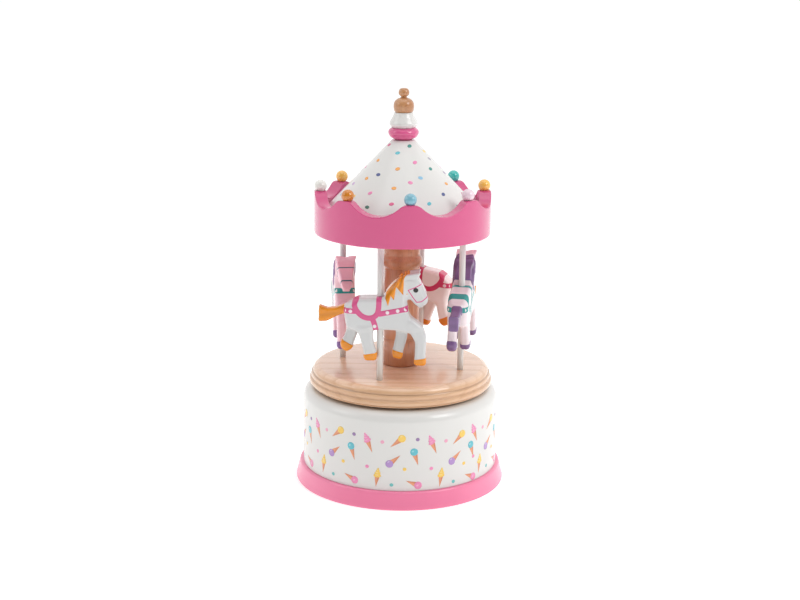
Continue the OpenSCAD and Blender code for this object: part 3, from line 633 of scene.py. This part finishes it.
def make_beads(paints):
    """Eight turned beads: a ball on a short neck that stands on each peak."""
    neck, height = 1.95, 2.3
    outline = np.vstack([
        [[0, 0.02], [neck + 0.25, 0.02], [neck, 0.25]],
        arc((0, height), BEAD_R, math.degrees(math.asin(-(height - 0.45) / BEAD_R)) - 12, 90, 24)[1:]])
    outline[-1, 0] = 0
    for i, (slot, paint) in enumerate(paints):
        a = CROWN_TURN + i * 2 * np.pi / PEAKS
        ring = CROWN_R - CROWN_WALL / 2
        centre = (ring * math.sin(a), -ring * math.cos(a))
        make_piece(f"bead_{i + 1}_turned", *lathe(outline + [0, CROWN_TOP], 48, centre), "carousel", slot,
                   paint, [f"crown_bead_{i + 1}"])


def make_roof(white):
    """The cone, hollow below, with a rounded shoulder under the finial."""
    foot = ROOF_LOW[2]
    wall = 5.0
    outline = np.vstack([
        [[ROOF_EDGE_R - wall, foot + 0.02], [ROOF_EDGE_R, foot + 0.02], [ROOF_EDGE_R, ROOF_EDGE - 0.6]],
        eased([[ROOF_EDGE_R, ROOF_EDGE - 0.6], [ROOF_EDGE_R, ROOF_EDGE], [ROOF_TOP_R, ROOF_TOP - 0.01],
               [0, ROOF_TOP - 0.01]], 0.5)[1:-1],
        [[1.52, ROOF_TOP - 0.01], [1.52, ROOF_TOP - 6], [0.5, ROOF_TOP - 6.1], [0.5, ROOF_TOP - 9],
         [ROOF_TOP_R, ROOF_TOP - 9], [ROOF_EDGE_R - wall, ROOF_EDGE - 2]]])
    make_piece("roof_turned", *lathe(outline, 256), "carousel", "white_paint", white, ["roof_cone"])


def make_finial(pink, white, brown):
    """Collar, bell and cap, each turned from a flowing outline."""
    pieces = [
        ("collar", "pink_paint", pink,
         [[4.3, 0.03], [4.9, 0.5], [6.7, 1.2], [7.95, 3.4], [7.5, 5.0], [6.6, 5.7], [6.2, 6.05]]),
        ("bell", "white_paint", white,
         [[5.7, 0.04], [6.5, 0.7], [7.35, 1.9], [6.7, 3.6], [5.4, 5.6], [4.9, 7.2], [4.5, 7.65]]),
        ("cap", "brown_wood", brown,
         [[4.1, 0.04], [4.9, 0.5], [5.3, 3.2], [4.9, 5.3], [3.4, 6.8], [1.5, 7.4], [1.4, 8.0],
          [2.6, 8.6], [2.8, 10.4], [2.0, 11.9], [0.8, 12.15], [0.0, 12.15]])]
    for name, slot, paint, line in pieces:
        curve = flowing(line)
        top = [] if curve[-1, 0] == 0 else [[0, curve[-1, 1]]]
        outline = np.array([[0, curve[0, 1]], *curve, *top])
        low = box_mm(f"finial_{name}")[0][2]
        make_piece(f"finial_{name}_turned", *lathe(outline + [0, low], 96), "carousel", slot, paint,
                   [f"finial_{name}"])


# ---- printed motifs ----

FILM_H = 0.05
ANGLES = np.linspace(0, 2 * np.pi, 40, endpoint=False)


def star_patches(outlines, centres, inks, lay):
    """Thin closed films: each outline is shrunk towards its centre on a polar grid, laid on a surface
    by lay, and closed underneath. Outlines are (motif, angle, 2) offsets, centres (motif, 2) and inks
    (motif, 4)."""
    rings = 5
    count, steps = outlines.shape[:2]
    shrink = np.linspace(1, 0.0, rings)[None, :, None, None]
    top = centres[:, None, None] + outlines[:, None] * shrink
    rim = (centres[:, None] + outlines)[:, None]
    under = centres[:, None, None] + outlines[:, None] * 0
    layers = np.concatenate([under, rim, top], 1)
    height = np.full((count, rings + 2, steps), FILM_H)
    height[:, :2] = -FILM_H
    points = lay(layers[..., 0], layers[..., 1], height).reshape(-1, 3)
    per = (rings + 2) * steps
    faces = (grid_faces(rings + 2, steps)[None] + (np.arange(count) * per)[:, None, None]).reshape(-1, 4)
    return points, faces.tolist(), np.repeat(inks, per, 0)


def add_film(name, points, faces, colours, body, slot, material):
    """A film mesh with its ink, its doubled points at the centres merged."""
    piece = make_piece(name, points, faces, body, slot, material)
    layer = piece.data.color_attributes.new("ink", "FLOAT_COLOR", "POINT")
    layer.data.foreach_set("color", colours.astype(np.float32).ravel())
    mesh = bmesh.new()
    mesh.from_mesh(piece.data)
    bmesh.ops.remove_doubles(mesh, verts=mesh.verts, dist=1e-7)
    mesh.to_mesh(piece.data)
    mesh.free()


def disc(width, height=None, turn=0.0):
    """An oval outline, turned by degrees."""
    height = height or width
    x, y = width / 2 * np.cos(ANGLES), height / 2 * np.sin(ANGLES)
    c, s = math.cos(math.radians(turn)), math.sin(math.radians(turn))
    return np.stack([x * c - y * s, x * s + y * c], -1)


def polar_polygon(corners):
    """Outline of a polygon round its own centre, sampled at even steps along its edges."""
    corners = np.asarray(corners, float)
    closed = np.vstack([corners, corners[:1]])
    length = np.concatenate([[0], np.cumsum(np.linalg.norm(np.diff(closed, axis=0), axis=1))])
    s = np.linspace(0, length[-1], len(ANGLES), endpoint=False)
    return np.stack([np.interp(s, length, closed[:, 0]), np.interp(s, length, closed[:, 1])], -1)


WAFER = "#e79464"
WAFER_SHADE = "#d67f50"
INK = {"pink": "#ee86b6", "yellow": "#f7cb4d", "teal": "#53bccb", "purple": "#ae86c8", "orange": "#f0a03a",
       "plum": "#8f6fa3", "rose": "#f0a4c0", "sea": "#62bdbb", "navy": "#46548f", "magenta": "#dd4f87",
       "green": "#2f8f84", "sky": "#8fc6e6", "lilac": "#c79ed3", "forest": "#2a6f5c", "grey": "#a9a8b4"}

# One tile of the drum's print, in millimetres along the drum and above the table: ice-cream cones with
# a ball or a swirl, each from the middle of its scoop to the tip of its wafer, and loose dots
TILE_CONES = [
    ("swirl", "pink", (0.0, 35.4), (2.7, 28.8)),
    ("ball", "yellow", (17.2, 36.7), (11.8, 32.4)),
    ("ball", "teal", (23.9, 29.4), (25.9, 22.7)),
    ("ball", "purple", (11.8, 23.9), (17.0, 28.3)),
    ("swirl", "yellow", (5.4, 17.4), (4.6, 11.0)),
    ("ball", "pink", (25.5, 12.4), (19.8, 14.8)),
]
TILE_DOTS = [("rose", (7.8, 34.9)), ("plum", (25.5, 36.4)), ("yellow", (19.1, 20.9)), ("pink", (0.0, 21.3)),
             ("sea", (12.6, 12.5))]
TILES = 10
TILE_STEP = math.radians(36.77)
TILE_START = math.radians(37.1)


def cone_motif(kind, ink, scoop, tip):
    """The parts of one printed ice cream, as outlines about centres: wafer, its shaded edge, scoop and
    light spot."""
    scoop, tip = np.array(scoop), np.array(tip)
    along = (tip - scoop) / np.linalg.norm(tip - scoop)
    side = np.array([-along[1], along[0]])
    if side[0] < 0:
        side = -side
    half = 1.55
    corners = np.array([scoop - side * half, scoop + side * half, tip])
    middle = corners.mean(0)
    shade = np.array([scoop + side * 0.5, scoop + side * half, tip])
    parts = [(polar_polygon(corners - middle), middle, WAFER, 0.0),
             (polar_polygon(shade - shade.mean(0)), shade.mean(0), WAFER_SHADE, 0.012)]
    if kind == "ball":
        parts.append((disc(3.9), scoop - along * 0.5, INK[ink], 0.024))
        spot = scoop - along * 0.5 - side * 0.7 + np.array([0, 0.6])
        parts.append((disc(1.3, 0.8, 35), spot, lighter(INK[ink], 0.35), 0.036))
    else:
        lobes = [(0.4, 3.9, 2.0), (-0.9, 3.1, 1.9), (-2.1, 1.9, 1.6)]
        turn = math.degrees(math.atan2(side[1], side[0]))
        for step, (shift, wide, tall) in enumerate(lobes):
            lobe = scoop + along * shift
            parts.append((disc(wide, tall, turn + 8), lobe, INK[ink], 0.024 + 0.002 * step))
            spot = scoop + along * (shift - 0.3) - side * 0.3
            parts.append((disc(wide * 0.5, tall * 0.35, turn + 8), spot, lighter(INK[ink], 0.25), 0.036))
        parts.append((disc(0.9, 1.3, turn), scoop - along * 3.1, INK[ink], 0.024))
    return parts


def make_drum_print(film):
    """The printed band: ten tiles round the drum, each laid on the cylinder by arc length. The sheet
    climbs a little away from its seam."""
    parts = [part for cone in TILE_CONES for part in cone_motif(*cone)]
    parts += [(disc(1.95, 1.8), np.array(place), INK[ink], 0.0) for ink, place in TILE_DOTS]
    outlines, centres, inks, lifts = [], [], [], []
    for k in range(TILES):
        climb = 1.8 * (1 - 0.62 ** (k * k)) - 0.9
        start = (TILE_START - k * TILE_STEP) * DRUM_R
        for outline, middle, code, lift in parts:
            cut_by_seam = k == 0 and middle[0] > 25 and middle[1] > 30
            if not cut_by_seam:
                outlines.append(outline)
                centres.append(middle + [start, climb])
                inks.append(rgb(code))
                lifts.append(lift)
    lifts = np.array(lifts)[:, None, None]

    def on_drum(along, height, lift):
        """Arc length and height on the drum's wall, as places in space."""
        r = DRUM_R + lift + np.where(lift > 0, lifts, 0)
        a = along / DRUM_R
        return np.stack([r * np.sin(a), -r * np.cos(a), height + 0 * a], -1)

    film_mesh = star_patches(np.array(outlines), np.array(centres), np.array(inks), on_drum)
    add_film("drum_print", *film_mesh, "base", "white_paint", film)


# Half a turn of the roof's dots: degrees from the front pole, height and ink. The other half repeats
# it.
ROOF_DOTS = [
    (-45, 176.5, "magenta"), (42, 176.5, "green"), (4, 173.4, "teal"), (93, 173.4, "yellow"),
    (-39, 169.2, "orange"), (42, 169.2, "pink"), (87, 169.9, "grey"), (10, 166.4, "orange"),
    (68, 165.8, "green"), (-18, 163.3, "navy"), (43, 162.4, "sky"), (-34, 160.9, "orange"),
    (28, 160.5, "pink"), (-53, 157.3, "lilac"), (9, 158.0, "orange"), (79, 158.5, "orange"),
    (-16, 155.1, "pink"), (63, 154.5, "navy"), (9, 151.2, "magenta"), (43, 151.2, "teal"),
    (-12, 149.1, "forest"), (-60, 151.5, "sky"), (-34, 152.6, "yellow"), (100, 162.6, "plum"),
    (97, 152.4, "magenta"), (72, 148.6, "green"), (-66, 164.8, "pink")]


def make_roof_dots(film):
    """Oval dots on the cone, each laid by the distance down its slope and round it."""
    fall = (ROOF_EDGE_R - ROOF_TOP_R) / (ROOF_TOP - ROOF_EDGE)
    slope = math.hypot(1, fall)
    outlines, places, inks = [], [], []
    for half in (0, 180):
        for degrees, height, ink in ROOF_DOTS:
            outlines.append(disc(2.5, 1.9, rng.uniform(-35, 35)))
            places.append((math.radians(degrees + half), height))
            inks.append(rgb(INK[ink]))
    places = np.array(places)
    radius = ROOF_TOP_R + (ROOF_TOP - places[:, 1]) * fall

    def on_cone(across, down, lift):
        """Distance across and up the slope from each dot's middle, as places in space."""
        shape = across.shape
        mid = np.broadcast_to(radius[:, None, None], shape)
        turn = np.broadcast_to(places[:, 0, None, None], shape) + across / mid
        z = np.broadcast_to(places[:, 1, None, None], shape) + down / slope
        r = ROOF_TOP_R + (ROOF_TOP - z) * fall
        r = r + lift / slope
        z = z + lift * fall / slope
        return np.stack([r * np.sin(turn), -r * np.cos(turn), z], -1)

    film_mesh = star_patches(np.array(outlines), np.zeros((len(places), 2)), np.array(inks), on_cone)
    add_film("roof_dots", *film_mesh, "carousel", "white_paint", film)


# ---- horses ----

# Side view of a horse in millimetres: first number forwards from the pole, second above the lowest hoof
TRUNK = [(-18, 27), (-17.4, 22.5), (-16.5, 18.5), (-11, 16.5), (-4, 18.2), (8, 18.0), (14, 16.5),
         (21.5, 19.5), (19, 21.5), (15.5, 24), (14, 27), (13.3, 33.3), (15.0, 33.6), (17.6, 30.6),
         (20, 29.2), (23.0, 31.0), (24.0, 33.5), (22.8, 37.5), (20.3, 42), (18.6, 44.6), (20.4, 48.0),
         (13, 46.6), (8.5, 44), (5, 39.4), (1.6, 34.6), (-10, 34.3), (-14.2, 32.4), (-17.4, 30)]
LEGS = {
    "hind_left": [(-16.5, 20), (-17.5, 14.5), (-20, 9.5), (-19.4, 7), (-17, 5.2), (-14.2, 7), (-11.8, 14),
                  (-10, 20)],
    "hind_right": [(-12, 20), (-10, 14.5), (-8, 6.5), (-7.6, 2.4), (-1.8, 2.4), (-1.4, 5.4), (-3.2, 12.2),
                   (-3.6, 20)],
    "fore_left": [(7.4, 20), (8, 14.5), (6.2, 5.4), (6.6, 2.6), (10.8, 1.8), (11.5, 5), (13.6, 13),
                  (14, 20)],
    "fore_right": [(13, 22), (15.2, 16.6), (17.8, 12), (17.4, 0.2), (23.2, 0.2), (23, 5), (23.4, 15),
                   (21.8, 19.4), (16, 24)],
}
TAIL = [(-16, 31), (-22, 28.7), (-26.5, 28.2), (-30.6, 29.8), (-30.8, 21.4), (-26.7, 21.6), (-22.4, 24),
        (-16, 26.6)]
MANE = [(-1, 36.9), (1.9, 36.5), (4.1, 30.6), (5.4, 36.0), (7.0, 33.6), (8.0, 40.6), (11.6, 36.4),
        (11.8, 43.9), (12.6, 49), (4, 50)]
HOOVES = [[(-22, 13.4), (-13.2, 8.2), (-12.6, 2), (-22, 2)], [(-10, 5.0), (-0.5, 6.7), (0, -2), (-10, -2)],
          [(5, 7.2), (12.6, 4.9), (12.6, -2), (5, -2)], [(15.5, 2.9), (25, 4.4), (25, -3), (15.5, -3)]]
STRAPS = [
    [(-0.4, 38), (-0.5, 28), (-2.2, 25.2), (-5, 24.2), (-8.5, 25), (-11, 27.3), (-12.6, 30.1), (-12.6, 32.2),
     (-11.6, 34), (-11, 38)],
    [(0, 26.6), (3.8, 27.4), (8.9, 28.4), (12.2, 29.2), (14.5, 29.1), (17.5, 28.6)],
    [(-19.5, 28.0), (-17, 28.0), (-12.4, 27.8)],
    [(-3.4, 23.6), (-2.2, 20.5), (-1.4, 15.5)],
]
STUDS = [(3.8, 27.4), (8.9, 28.4), (12.8, 29.2), (-14.6, 27.8), (-17.7, 28.1), (-2.5, 20.3)]
BRIDLE = [[(14, 38.8), (17, 40.1), (20.4, 41.9), (22.5, 43.4)], [(14, 38.8), (16.2, 35.2), (18.2, 32.4)],
          [(18.2, 32.4), (20.6, 32.8), (22.9, 34.8), (24.8, 37.2)]]
EYE = (17.7, 38.9)


def segment_distance(u, w, a, b):
    """Distance of points from the stretch between a and b."""
    du, dw = b[0] - a[0], b[1] - a[1]
    t = np.clip(((u - a[0]) * du + (w - a[1]) * dw) / (du * du + dw * dw + 1e-12), 0, 1)
    return np.hypot(u - a[0] - t * du, w - a[1] - t * dw)


def path_distance(u, w, path):
    """Distance of points from an open line."""
    return np.minimum.reduce([segment_distance(u, w, a, b) for a, b in zip(path[:-1], path[1:])])


def outline_distance(u, w, outline):
    """Signed distance of points from a closed outline: the nearest edge, negative where a ray crosses
    it an odd number of times."""
    near = path_distance(u, w, np.vstack([outline, outline[:1]]))
    inside = np.zeros(np.broadcast(u, w).shape, bool)
    for a, b in zip(outline, np.roll(outline, -1, 0)):
        crosses = (a[1] > w) != (b[1] > w)
        with np.errstate(divide="ignore", invalid="ignore"):
            at = a[0] + (w - a[1]) * (b[0] - a[0]) / (b[1] - a[1])
        inside ^= crosses & (u < at)
    return np.where(inside, -near, near)


def padded_slab(flat, v, half, rounding):
    """Distance to a board whose side view is flat and whose half thickness is half, with rounded edges."""
    a, b = flat + rounding, np.abs(v) - half + rounding
    return np.minimum(np.maximum(a, b), 0) + np.hypot(np.maximum(a, 0), np.maximum(b, 0)) - rounding


def blended(a, b, reach):
    """Union of two distances whose joint is filled over reach."""
    h = np.clip(0.5 + 0.5 * (b - a) / reach, 0, 1)
    return b * (1 - h) + a * h - reach * h * (1 - h)


def smooth_step(x, low, high):
    """0 at low, 1 at high, and a smooth curve between."""
    t = np.clip((x - low) / (high - low), 0, 1)
    return t * t * (3 - 2 * t)


SHAPES = {name: eased(points, 1.8, 4, closed=True) for name, points in LEGS.items()}
SHAPES["trunk"] = eased(TRUNK, 1.4, 4, closed=True)
SHAPES["tail"] = eased(TAIL, 0.9, 4, closed=True)

# Half widths of the flat of the face and of the jaw behind it at heights from the chin to the ears, how
# fast the cheeks widen from one to the other, and how far from the middle a flank starts
FACE_HEIGHTS = [28.5, 29.5, 31, 34, 38, 41, 43, 44.5, 46, 48]
FACE_HALVES = [0.7, 1.2, 1.9, 2.6, 3.1, 3.8, 4.2, 4.6, 5.0, 5.6]
JAW_HALVES = [0.9, 1.5, 2.3, 3.2, 4.1, 4.6, 4.8, 4.9, 5.2, 5.8]
CHEEK_SLOPE = 0.32
SIDE_FROM = 4.1

FULL_STEP = 0.28


def strands_of(u, w):
    """Waves from -1 to 1 across the strands of hair, which fan out from a point above the poll and, on
    the tail, run along it."""
    fan = np.arctan2(w - 54, u - 14)
    along_tail = (w - 26.5) + 0.25 * (u + 24) ** 2 * 0.1
    return np.where(u < -15, 0.35 * np.sin(along_tail * 1.5), np.sin(fan * 34))


def paint_distances(u, v, w):
    """Distances in millimetres from each painted area in the side view, negative inside. Studs stay on
    the flanks."""
    strap = np.minimum.reduce([path_distance(u, w, flowing(path, 2)) - 1.35 for path in STRAPS])
    stud = np.minimum.reduce([np.hypot(u - a, w - b) - 0.9 for a, b in STUDS])
    stud = np.maximum(stud, SIDE_FROM - np.abs(v))
    line = np.minimum.reduce([path_distance(u, w, np.array(path)) - 0.26 for path in BRIDLE])
    mane = outline_distance(u - 2.4 * smooth_step(np.abs(v), 5.0, 3.6), w, np.array(MANE))
    tail = np.maximum(outline_distance(u, w, SHAPES["tail"]) - 0.6, u + 17.8)
    tail = np.maximum(tail, np.abs(v) - 2.8)
    hoof = np.minimum.reduce([outline_distance(u, w, np.array(h, float)) for h in HOOVES])
    eye = np.hypot(u - EYE[0], w - EYE[1]) - 1.25
    return {"strap_mm": strap, "stud_mm": stud, "line_mm": line, "hair_mm": np.minimum(mane, tail),
            "hoof_mm": hoof, "eye_mm": eye, "mane": mane}


def horse_distance(u, v, w):
    """Distance to a carved horse: a rounded board for the trunk, whose head is bevelled from the cheeks
    to the flat of the face, four legs in two planes, a tail, and low relief for the mane, the hooves
    and the harness."""
    flat = outline_distance(u, w, SHAPES["trunk"])
    in_head = smooth_step(u, 11, 14) * smooth_step(w, 28, 30.5)
    bevel = CHEEK_SLOPE * np.maximum(-flat, 0) * smooth_step(w, 45, 42)
    face = np.interp(w, FACE_HEIGHTS, FACE_HALVES) + bevel
    face = np.minimum(face, np.interp(w, FACE_HEIGHTS, JAW_HALVES))
    half = HORSE_W / 2 * (1 - in_head) + face * in_head
    dip = 0.6 * smooth_step(w, 44.5, 46.5) * np.exp(-(v / 2.2) ** 2)
    rounding = np.minimum(1.9 - 1.1 * in_head + smooth_step(-u, 9, 16), half * 0.75)
    trunk = padded_slab(flat + dip, v, half, rounding)
    paint = paint_distances(u, v, w)
    relief = 0.3 * smooth_step(-paint["mane"], -0.1, 0.4) * (1 + 0.7 * strands_of(u, w))
    relief = relief + 0.14 * smooth_step(-paint["strap_mm"], 0.0, 0.25)
    relief = relief + 0.14 * smooth_step(-paint["stud_mm"], 0.0, 0.3)
    body = trunk - relief
    boot = 0.3 * smooth_step(-paint["hoof_mm"], -0.3, 0.5)
    for name, side in (("hind_left", 1), ("fore_left", 1), ("hind_right", -1), ("fore_right", -1)):
        flat = outline_distance(u, w, SHAPES[name])
        leg = padded_slab(flat, v - side * 2.65, 2.3, 1.7) - boot
        body = blended(body, leg, 1.8)
    flat = outline_distance(u, w, SHAPES["tail"])
    tail = padded_slab(flat, v, 2.5, 1.1) - 0.15 * strands_of(u, w)
    return blended(body, tail, 0.8)


def neighbours(axis):
    """Indices of all places but the last and of all but the first along an axis."""
    low, high = [slice(None)] * 3, [slice(None)] * 3
    low[axis], high[axis] = slice(0, -1), slice(1, None)
    return tuple(low), tuple(high)


def surface_net(values, axes):
    """Closed skin of the places where values are negative. Each cell that the skin passes gets one
    point, the mean of the skin's crossings with its edges, and each crossed edge joins the four cells
    round it."""
    inside = values < 0
    shape = np.array(values.shape) - 1
    total = np.zeros((*shape, 3))
    count = np.zeros(shape)
    steps = [a[1] - a[0] for a in axes]
    for axis in range(3):
        low, high = neighbours(axis)
        a, b = values[low], values[high]
        crossed = inside[low] != inside[high]
        share = np.where(crossed, a / np.where(crossed, a - b, 1), 0)
        others = [k for k in range(3) if k != axis]
        for p in (0, 1):
            for q in (0, 1):
                pick = [slice(None)] * 3
                pick[others[0]] = slice(p, p + shape[others[0]])
                pick[others[1]] = slice(q, q + shape[others[1]])
                hit = crossed[tuple(pick)]
                count += hit
                total[..., axis] += share[tuple(pick)]
                total[..., others[0]] += hit * p
                total[..., others[1]] += hit * q
    active = count > 0
    index = np.full(shape, -1)
    index[active] = np.arange(active.sum())
    cell = np.argwhere(active)
    origin = np.array([a[0] for a in axes])
    points = origin + (cell + total[active] / count[active][:, None]) * np.array(steps)
    faces = []
    for axis in range(3):
        one, two = (axis + 1) % 3, (axis + 2) % 3
        low, high = neighbours(axis)
        change = inside[low].astype(int) - inside[high].astype(int)
        at = np.argwhere(change != 0)
        ok = (at[:, one] > 0) & (at[:, two] > 0) & (at[:, one] < shape[one]) & (at[:, two] < shape[two])
        at = at[ok]
        corners = []
        for p, q in ((1, 1), (0, 1), (0, 0), (1, 0)):
            c = at.copy()
            c[:, one] -= p
            c[:, two] -= q
            corners.append(index[c[:, 0], c[:, 1], c[:, 2]])
        quads = np.stack(corners, -1)
        leaving = change[at[:, 0], at[:, 1], at[:, 2]] > 0
        faces.append(np.where(leaving[:, None], quads, quads[:, ::-1]))
    return points, np.concatenate(faces)


def carve_horse(step):
    """Points and faces of a horse in its own frame, with the paint distances at each point."""
    u = np.arange(-32.5, 26.0, step)
    v = np.arange(-6.4, 6.6, step)
    w = np.arange(-1.5, 50.0, step)
    values = horse_distance(u[:, None, None], v[None, :, None], w[None, None, :])
    points, faces = surface_net(values, (u, v, w))
    for _ in range(2):
        d = horse_distance(*points.T)
        shift = 0.15
        slope = np.stack([horse_distance(*(points + shift * e).T) - horse_distance(*(points - shift * e).T)
                          for e in np.eye(3)], -1) / (2 * shift)
        size = np.maximum((slope ** 2).sum(1), 0.3)
        points = points - slope * (np.clip(d, -0.2, 0.2) / size)[:, None]
    paint = paint_distances(*points.T)
    paint.pop("mane")
    paint["strand"] = strands_of(points[:, 0], points[:, 2])
    flat = outline_distance(points[:, 0], points[:, 2], SHAPES["trunk"])
    # Front faces of the head, near its outline, take a deeper colour: painted shade.
    paint["face_shade_mm"] = np.maximum.reduce([-flat - 1.2, 15.5 - points[:, 0], 30.0 - points[:, 2]])
    return points, faces, paint


def make_horses(paints):
    """The carved horse, tilted, turned nose inwards and set on each pole."""
    points, faces, paint = carve_horse(FULL_STEP)
    for name, (place, inwards, tilt, lift) in HORSES.items():
        a, b, c = math.radians(place), math.radians(inwards), math.radians(tilt)
        along, v, above = points[:, 0], points[:, 1], points[:, 2] - TILT_H
        u = along * math.cos(c) - above * math.sin(c)
        w = along * math.sin(c) + above * math.cos(c) + TILT_H + lift
        x, y = u * math.cos(b) - v * math.sin(b), u * math.sin(b) + v * math.cos(b) - POLE_RING_R
        east, north = x * math.cos(a) - y * math.sin(a), x * math.sin(a) + y * math.cos(a)
        slot, material = paints[name]
        piece = make_piece(f"horse_{name}_carved", np.stack([east, north, w + HORSE_Z], -1), faces.tolist(),
                           "carousel", slot, material, [f"horse_{name}"])
        for key, values in paint.items():
            layer = piece.data.attributes.new(key, "FLOAT", "POINT")
            layer.data.foreach_set("value", values.astype(np.float32))


# ---- everything ----

make_camera()
make_studio()

pink = lacquer("pink_lacquer_on_turned_wood", "#fc8aaf", 0.24, 0.3)
# The crown's pink is deeper than the base ring's: partly a deeper paint, partly painted shade for the lesser
# light that reaches the crown.
crown_pink_and_shade = lacquer("crown_pink_lacquer_with_painted_shade", "#d64b84", 0.24, 0.6)
pink_wash = lacquer("thin_pink_wash_on_board", "#f6d0d8", 0.4, 0.1)
collar_pink = lacquer("rose_lacquer_on_turned_wood", "#df5f92")
white = lacquer("white_lacquer_on_turned_wood", "#e4e3e0", 0.22, 0.2, 0.02)
table_wood = pine("clear_lacquered_pine", math.radians(VIEW_TURN))
brown = stained_wood("stained_lacquered_hardwood", "#d6946e", "#be7a54", "#74422e")
cap_brown = stained_wood("stained_hardwood_finial", "#cf9a6c", "#b0764c", "#7a4a2e")
film = printed_film("printed_transfer_film")
steel = machined_metal("bright_turned_steel", "#c4c6c8")
blue_steel = machined_metal("blued_spring_steel", "#59616c", 0.35)
cast = machined_metal("nickelled_casting", "#b5b3ab", 0.45, 0.8)
brass = machined_metal("turned_brass", "#d2a955", 0.28)
nylon = moulded_nylon("moulded_white_nylon", "#eeebe2")
dowel = stained_wood("plain_beech_dowel", "#e0c49a", "#c9a777", "#a07d50", 0.55)
board = fibreboard("pressed_fibreboard")

make_base(pink, white)
make_drum_print(film)
make_table(table_wood)
make_column(brown)
make_poles(white)
make_crown(crown_pink_and_shade)
BEAD_SLOTS = [("sky_bead", "#7db6c8"), ("pale_bead", "#ecd3de"), ("yellow_bead", "#ffc45c"),
              ("teal_bead", "#3dbbb4"), ("sky_bead", "#7db6c8"), ("yellow_bead", "#ffc45c"),
              ("white_bead", "#f0eee8"), ("orange_bead", "#d58222")]
bead_paints = {slot: lacquer(f"{slot}_enamel", code, 0.14, 0.8) for slot, code in BEAD_SLOTS}
make_beads([(slot, bead_paints[slot]) for slot, _ in BEAD_SLOTS])
make_roof(white)
make_roof_dots(film)
make_finial(collar_pink, white, cap_brown)

# Slot and enamel of each horse: its coat, hair, harness, bridle, studs, the colour of the painted shade on
# the front faces of its head, and that shade's strength
# The front horse's white coat is painted grey, painted shade under the canopy; the back horse's white is
# tinted pink, a painted reflection of the canopy and the wood; the left horse's pink is deeper than the
# right's, painted shade.
HORSE_PAINTS = {
    "front": ("white_horse", "white_horse_enamel", "#d6d7d7", "#ec9322", "#dc5a90", "#d4508a", "#f0e6ea",
              "#d6d7d7", 0.0),
    "right": ("pink_horse", "pale_pink_horse_enamel", "#f3e4e8", "#80608f", "#35a09c", "#32727c", "#f2f0ee",
              "#eab4c6", 0.6),
    "left": ("pink_horse", "pink_horse_enamel_in_painted_shade", "#ffd4de", "#87649f", "#35a09c", "#32727c", "#f2f0ee",
             "#f2a6be", 0.5),
    "back": ("white_horse", "white_horse_crimson_enamel", "#faecea", "#e8862c", "#d8406c", "#d8406c",
             "#f7dbe2", "#faecea", 0.0)}
make_horses({name: (slot, horse_enamel(*paint)) for name, (slot, *paint) in HORSE_PAINTS.items()})

FINISHES = {
    steel: ["cover_screws", "movement_screws", "spring_housing", "spring_housing_lid", "housing_screws",
            "comb", "comb_screws", "governor_screw", "drive_arbor", "cylinder_shaft", "second_shaft",
            "worm_shaft"],
    blue_steel: ["mainspring"],
    cast: ["movement_bedplate"],
    brass: ["governor_bracket", "drive_wheel", "threaded_insert", "music_cylinder", "cylinder_pinion",
            "second_pinion"],
    nylon: ["thrust_washer", "cylinder_end_wheel", "worm_wheel", "governor_fly"],
    board: ["bottom_cover"],
    pink_wash: ["canopy_board"],
    dowel: ["finial_pin"],
}
for material, names in FINISHES.items():
    for name in names:
        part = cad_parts[name]
        part.data.materials.clear()
        part.data.materials.append(material)
